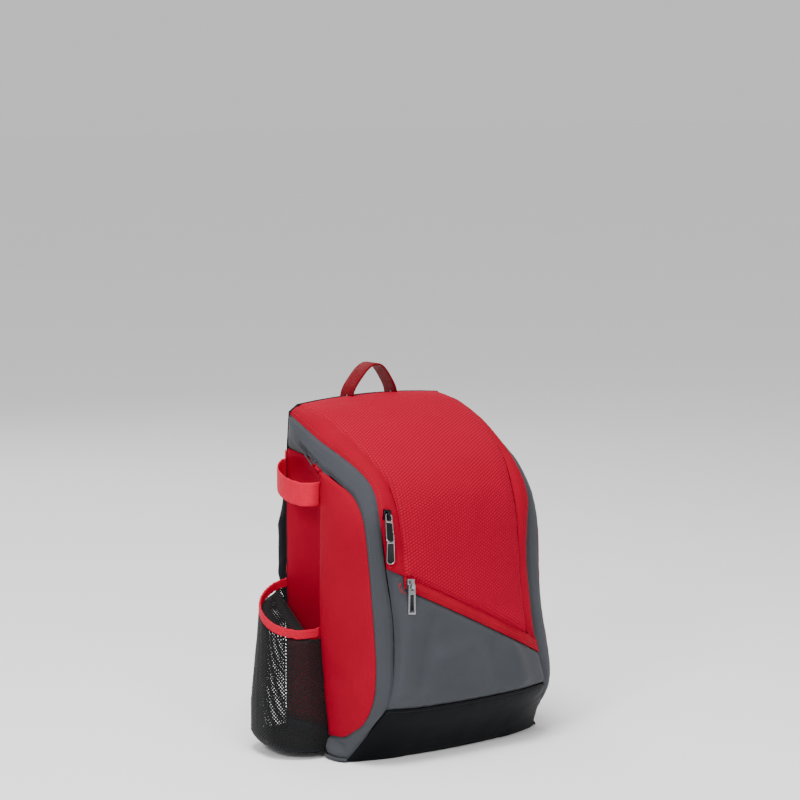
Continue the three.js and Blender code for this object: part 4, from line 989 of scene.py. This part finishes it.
# Its sewn ends stay as they are: 30 mm at the top and 12 mm at the buckle
SEWN_TOP, SEWN_END = 0.03, 0.012
SCAN = 340
for side, sign in (("left", -1), ("right", 1)):
    node = "shoulder_strap_" + side
    pad = copy_node(node, "shoulder_strap_pad_" + side)
    low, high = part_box(node)
    step = pad.modifiers.new("even_mesh", "REMESH")
    step.mode = "VOXEL"
    step.voxel_size = PAD_CELL
    take(pad)
    bpy.ops.object.modifier_apply(modifier=step.name)
    for vertex, normal in [(v, v.normal.copy()) for v in pad.data.vertices]:
        vertex.co -= normal * SLIMMER
    inflate(pad, lambda p: p.z > high.z - SEWN_TOP or p.z < low.z + SEWN_END)
    smooth(pad, 1)
    wear(pad, strap_cloth, "strap_cloth", node)

    # The pad's outer face is looked at level by level, for its middle and its two edges
    surface = surface_of(pad.data)
    spine, edges = [], {"inner": [], "outer": []}
    z = high.z - 0.02
    while z > low.z + 0.01:
        hits = []
        for k in range(SCAN):
            x = low.x + (high.x - low.x) * k / (SCAN - 1)
            hit, normal, _, _ = surface.ray_cast(Vector((x, high.y + 0.05, z)), Vector((0, -1, 0)), 0.2)
            if hit is not None and normal.y > 0.3:
                hits.append(hit)
        if len(hits) > 4:
            spine.append(hits[len(hits) // 2])
            edges["inner"].append(hits[2])
            edges["outer"].append(hits[-3])
        z -= 0.006
    middle_line = [p + Vector((0, 0.0004, 0)) for p in even(spine, 0.004)]
    strip = ribbon("strap_centre_webbing_" + side, middle_line, Vector((1, 0, 0)), 0.02, 0.0014)
    wear(strip, black_webbing, "black_webbing")
    for name, points in edges.items():
        stitch(f"strap_stitches_{name}_{side}", points, surface, black_thread, inset=0.004)


# Adjusting straps: narrow black webbing from a sewn tab at each lower corner up to the ladder lock.
# The tab is doubled cloth, sewn with a box and a cross.
TAB_INSET = 0.004
for side in ("left", "right"):
    web = copy_node("strap_webbing_" + side, "strap_webbing_" + side + "_cloth")
    round_edges(web, 0.0005, 2)
    wear(web, black_webbing, "black_webbing", "strap_webbing_" + side)
    tab = copy_node("strap_tab_" + side, "strap_tab_cloth_" + side)
    round_edges(tab, 0.001, 3)
    wear(tab, black_cloth, "plain_black", "strap_tab_" + side)
    low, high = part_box("strap_tab_" + side)
    first, last = low.x + TAB_INSET, high.x - TAB_INSET
    foot, top = low.z + TAB_INSET, high.z - TAB_INSET
    corners = [Vector((x, high.y, z)) for x, z in ((first, foot), (last, foot), (last, top), (first, top))]
    box = corners + [corners[0], corners[2], corners[1], corners[3]]
    stitch("tab_stitches_" + side, box, surface_of(tab.data), black_thread, inset=0.0, pitch=0.003)


# Ladder locks: moulded black acetal buckles that grip the adjusting webbing.
# Every edge is rounded, as the mould leaves it.

# Moulded acetal: black and smooth, with the mould's fine spark grain
acetal, tree, shader = new_material("moulded_black_acetal", Roughness=0.38, IOR=1.48)
place = add(tree, "ShaderNodeTexCoord").outputs["Object"]
spark = add(tree, "ShaderNodeTexNoise", {"Scale": 1500.0}, {"Vector": place})
base = add(tree, "ShaderNodeMix", {6: colour("#101113"), 7: colour("#191a1c")}, {0: spark.outputs["Fac"]},
           data_type="RGBA")
tree.links.new(base.outputs[2], shader.inputs["Base Color"])
skin = add(tree, "ShaderNodeBump", {"Strength": 0.15, "Distance": 0.0001}, {"Height": spark.outputs["Fac"]})
tree.links.new(skin.outputs[0], shader.inputs["Normal"])
for side in ("left", "right"):
    buckle = copy_node("strap_buckle_" + side, "ladder_lock_" + side)
    merge_flats(buckle)
    round_edges(buckle, 0.0009, 3, shade=35)
    wear(buckle, acetal, "buckle_plastic", "strap_buckle_" + side)


# Zip sliders: cast zinc, polished and plated, each with a bridge that its pull hangs on.
# The main zip's are black, and the pocket's is bright.
def plated(name, light, dark, dullest):
    """Polished plating over zinc: nearly a mirror, a little duller where fingers rub it."""
    material, tree, shader = new_material(name, Metallic=1.0)
    place = add(tree, "ShaderNodeTexCoord").outputs["Object"]
    rub = add(tree, "ShaderNodeTexNoise", {"Scale": 260.0, "Detail": 3.0}, {"Vector": place})
    base = add(tree, "ShaderNodeMix", {6: colour(dark), 7: colour(light)}, {0: rub.outputs["Fac"]},
               data_type="RGBA")
    tree.links.new(base.outputs[2], shader.inputs["Base Color"])
    gloss = add(tree, "ShaderNodeMapRange", {"To Min": 0.1, "To Max": dullest}, {"Value": rub.outputs["Fac"]})
    tree.links.new(gloss.outputs[0], shader.inputs["Roughness"])
    return material


zinc = plated("polished_plated_zinc", "#c3c4c6", "#9a9c9e", 0.26)
smoked = plated("black_nickel_zinc", "#37383b", "#1c1d1f", 0.24)
for node, finish in (("main_slider_upper", smoked), ("main_slider_lower", smoked), ("pocket_slider", zinc)):
    slider = copy_node(node, node + "_casting")
    merge_flats(slider)
    round_edges(slider, 0.0006, 3)
    wear(slider, finish, "zip_metal", node)


# Zip pulls: flat cast tabs with a slot that the bridge goes through and a sunk panel on each face.
# The panel is filled with black rubber on the main pulls, and is dark plated metal on the pocket's.

# Moulded rubber: nearly black, with a low even gloss
rubber, tree, shader = new_material("moulded_black_rubber", Roughness=0.35, Specular_IOR_Level=0.3)
place = add(tree, "ShaderNodeTexCoord").outputs["Object"]
bloom = add(tree, "ShaderNodeTexNoise", {"Scale": 500.0}, {"Vector": place})
base = add(tree, "ShaderNodeMix", {6: colour("#040405"), 7: colour("#0b0c0c")}, {0: bloom.outputs["Fac"]},
           data_type="RGBA")
tree.links.new(base.outputs[2], shader.inputs["Base Color"])

# Each pull with its panel's finish, the radius of its foot, and the width of its frame and of its slot's rails
PULLS = (
    ("main_pull_upper", "upper_pull", rubber, 0.0042, 0.0006, 0.0014),
    ("main_pull_lower", "lower_pull", rubber, 0.0042, 0.0006, 0.0014),
    ("pocket_pull", "pocket_pull", smoked, 0.0014, 0.0022, 0.0026),
)
# The top's corner radius and its width beside the foot's, the slot's length, and how deep the panel is sunk
TOP_RADIUS, TOP_SHARE, SLOT_LENGTH, SUNK = 0.003, 0.88, 0.0105, 0.0004
for node, body, panel_finish, foot, rim, rail in PULLS:
    joint = next(j for j in frame["joints"] if j["child"] == body)
    pin, axle = Vector(joint["pos_m"]), Vector(joint["axis"]).normalized()
    points = [v.co for v in frame["nodes"][node].data.vertices]
    down = sum(points, Vector()) / len(points) - pin
    down = (down - axle * down.dot(axle)).normalized()
    face = axle.cross(down)
    if face.dot(pin - INSIDE) < 0:
        axle, face = -axle, -face
    # The tab is made flat at the origin, its width along X and its length along Y, and then laid in its place
    local = [Vector(((p - pin).dot(axle), (p - pin).dot(-down), (p - pin).dot(face))) for p in points]
    low = Vector([min(p[i] for p in local) for i in range(3)])
    high = Vector([max(p[i] for p in local) for i in range(3)])
    middle, sizes = (low + high) / 2, high - low
    bpy.ops.object.select_all(action="DESELECT")
    bpy.ops.mesh.primitive_cube_add(size=1, location=middle, scale=sizes)
    pull = bpy.context.object
    pull.name = node + "_casting"
    bpy.ops.object.transform_apply(location=True, rotation=True, scale=True)
    bpy.ops.object.mode_set(mode="EDIT")
    bpy.ops.mesh.select_mode(type="EDGE")
    for bottom_end, radius in ((True, foot), (False, TOP_RADIUS)):
        bpy.ops.mesh.select_all(action="DESELECT")
        bpy.ops.object.mode_set(mode="OBJECT")
        for edge in pull.data.edges:
            a, b = (pull.data.vertices[i].co for i in edge.vertices)
            upright = abs(a.x - b.x) < 1e-6 and abs(a.y - b.y) < 1e-6
            edge.select = upright and (a.y < middle.y) == bottom_end
        bpy.ops.object.mode_set(mode="EDIT")
        bpy.ops.mesh.bevel(offset=radius, segments=6, affect="EDGES")
    bpy.ops.mesh.select_all(action="DESELECT")
    bpy.ops.mesh.select_mode(type="VERT")
    bpy.ops.object.mode_set(mode="OBJECT")
    for vertex in pull.data.vertices:
        vertex.select = vertex.co.y > middle.y
    bpy.ops.object.mode_set(mode="EDIT")
    bpy.ops.transform.resize(value=(TOP_SHARE, 1, 1), center_override=(middle.x, middle.y, middle.z))
    bpy.ops.mesh.select_all(action="SELECT")
    slot_end = high.y - SLOT_LENGTH
    bpy.ops.mesh.bisect(plane_co=(0, slot_end, 0), plane_no=(0, 1, 0))
    bpy.ops.mesh.select_mode(type="FACE")
    for above in (True, False):
        bpy.ops.mesh.select_all(action="DESELECT")
        bpy.ops.object.mode_set(mode="OBJECT")
        for polygon in pull.data.polygons:
            flat = abs(polygon.normal.z) > 0.9
            polygon.select = flat and (polygon.center.y > slot_end) == above
        bpy.ops.object.mode_set(mode="EDIT")
        bpy.ops.mesh.inset(thickness=rail if above else rim, depth=0, use_individual=True)
        if above:
            bpy.ops.mesh.delete(type="FACE")
            bpy.ops.mesh.select_mode(type="EDGE")
            bpy.ops.mesh.select_all(action="DESELECT")
            bpy.ops.mesh.select_non_manifold()
            bpy.ops.mesh.bridge_edge_loops()
            bpy.ops.mesh.select_mode(type="FACE")
        else:
            bpy.ops.mesh.inset(thickness=0.0001, depth=-SUNK, use_individual=True)
            bpy.ops.object.mode_set(mode="OBJECT")
            pull.data.materials.clear()
            pull.data.materials.append(zinc)
            pull.data.materials.append(panel_finish)
            for polygon in pull.data.polygons:
                polygon.material_index = 1 if polygon.select else 0
            bpy.ops.object.mode_set(mode="EDIT")
    bpy.ops.mesh.select_all(action="SELECT")
    bpy.ops.mesh.normals_make_consistent(inside=False)
    bpy.ops.object.mode_set(mode="OBJECT")
    round_edges(pull, 0.0003, 2, bend=50, shade=35)
    pull.data.transform(Matrix.Translation(pin) @ Matrix((axle, -down, face)).transposed().to_4x4())
    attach(pull, body)
    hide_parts(node)


# The first stitch was only there to be copied
bpy.data.objects.remove(one_stitch)
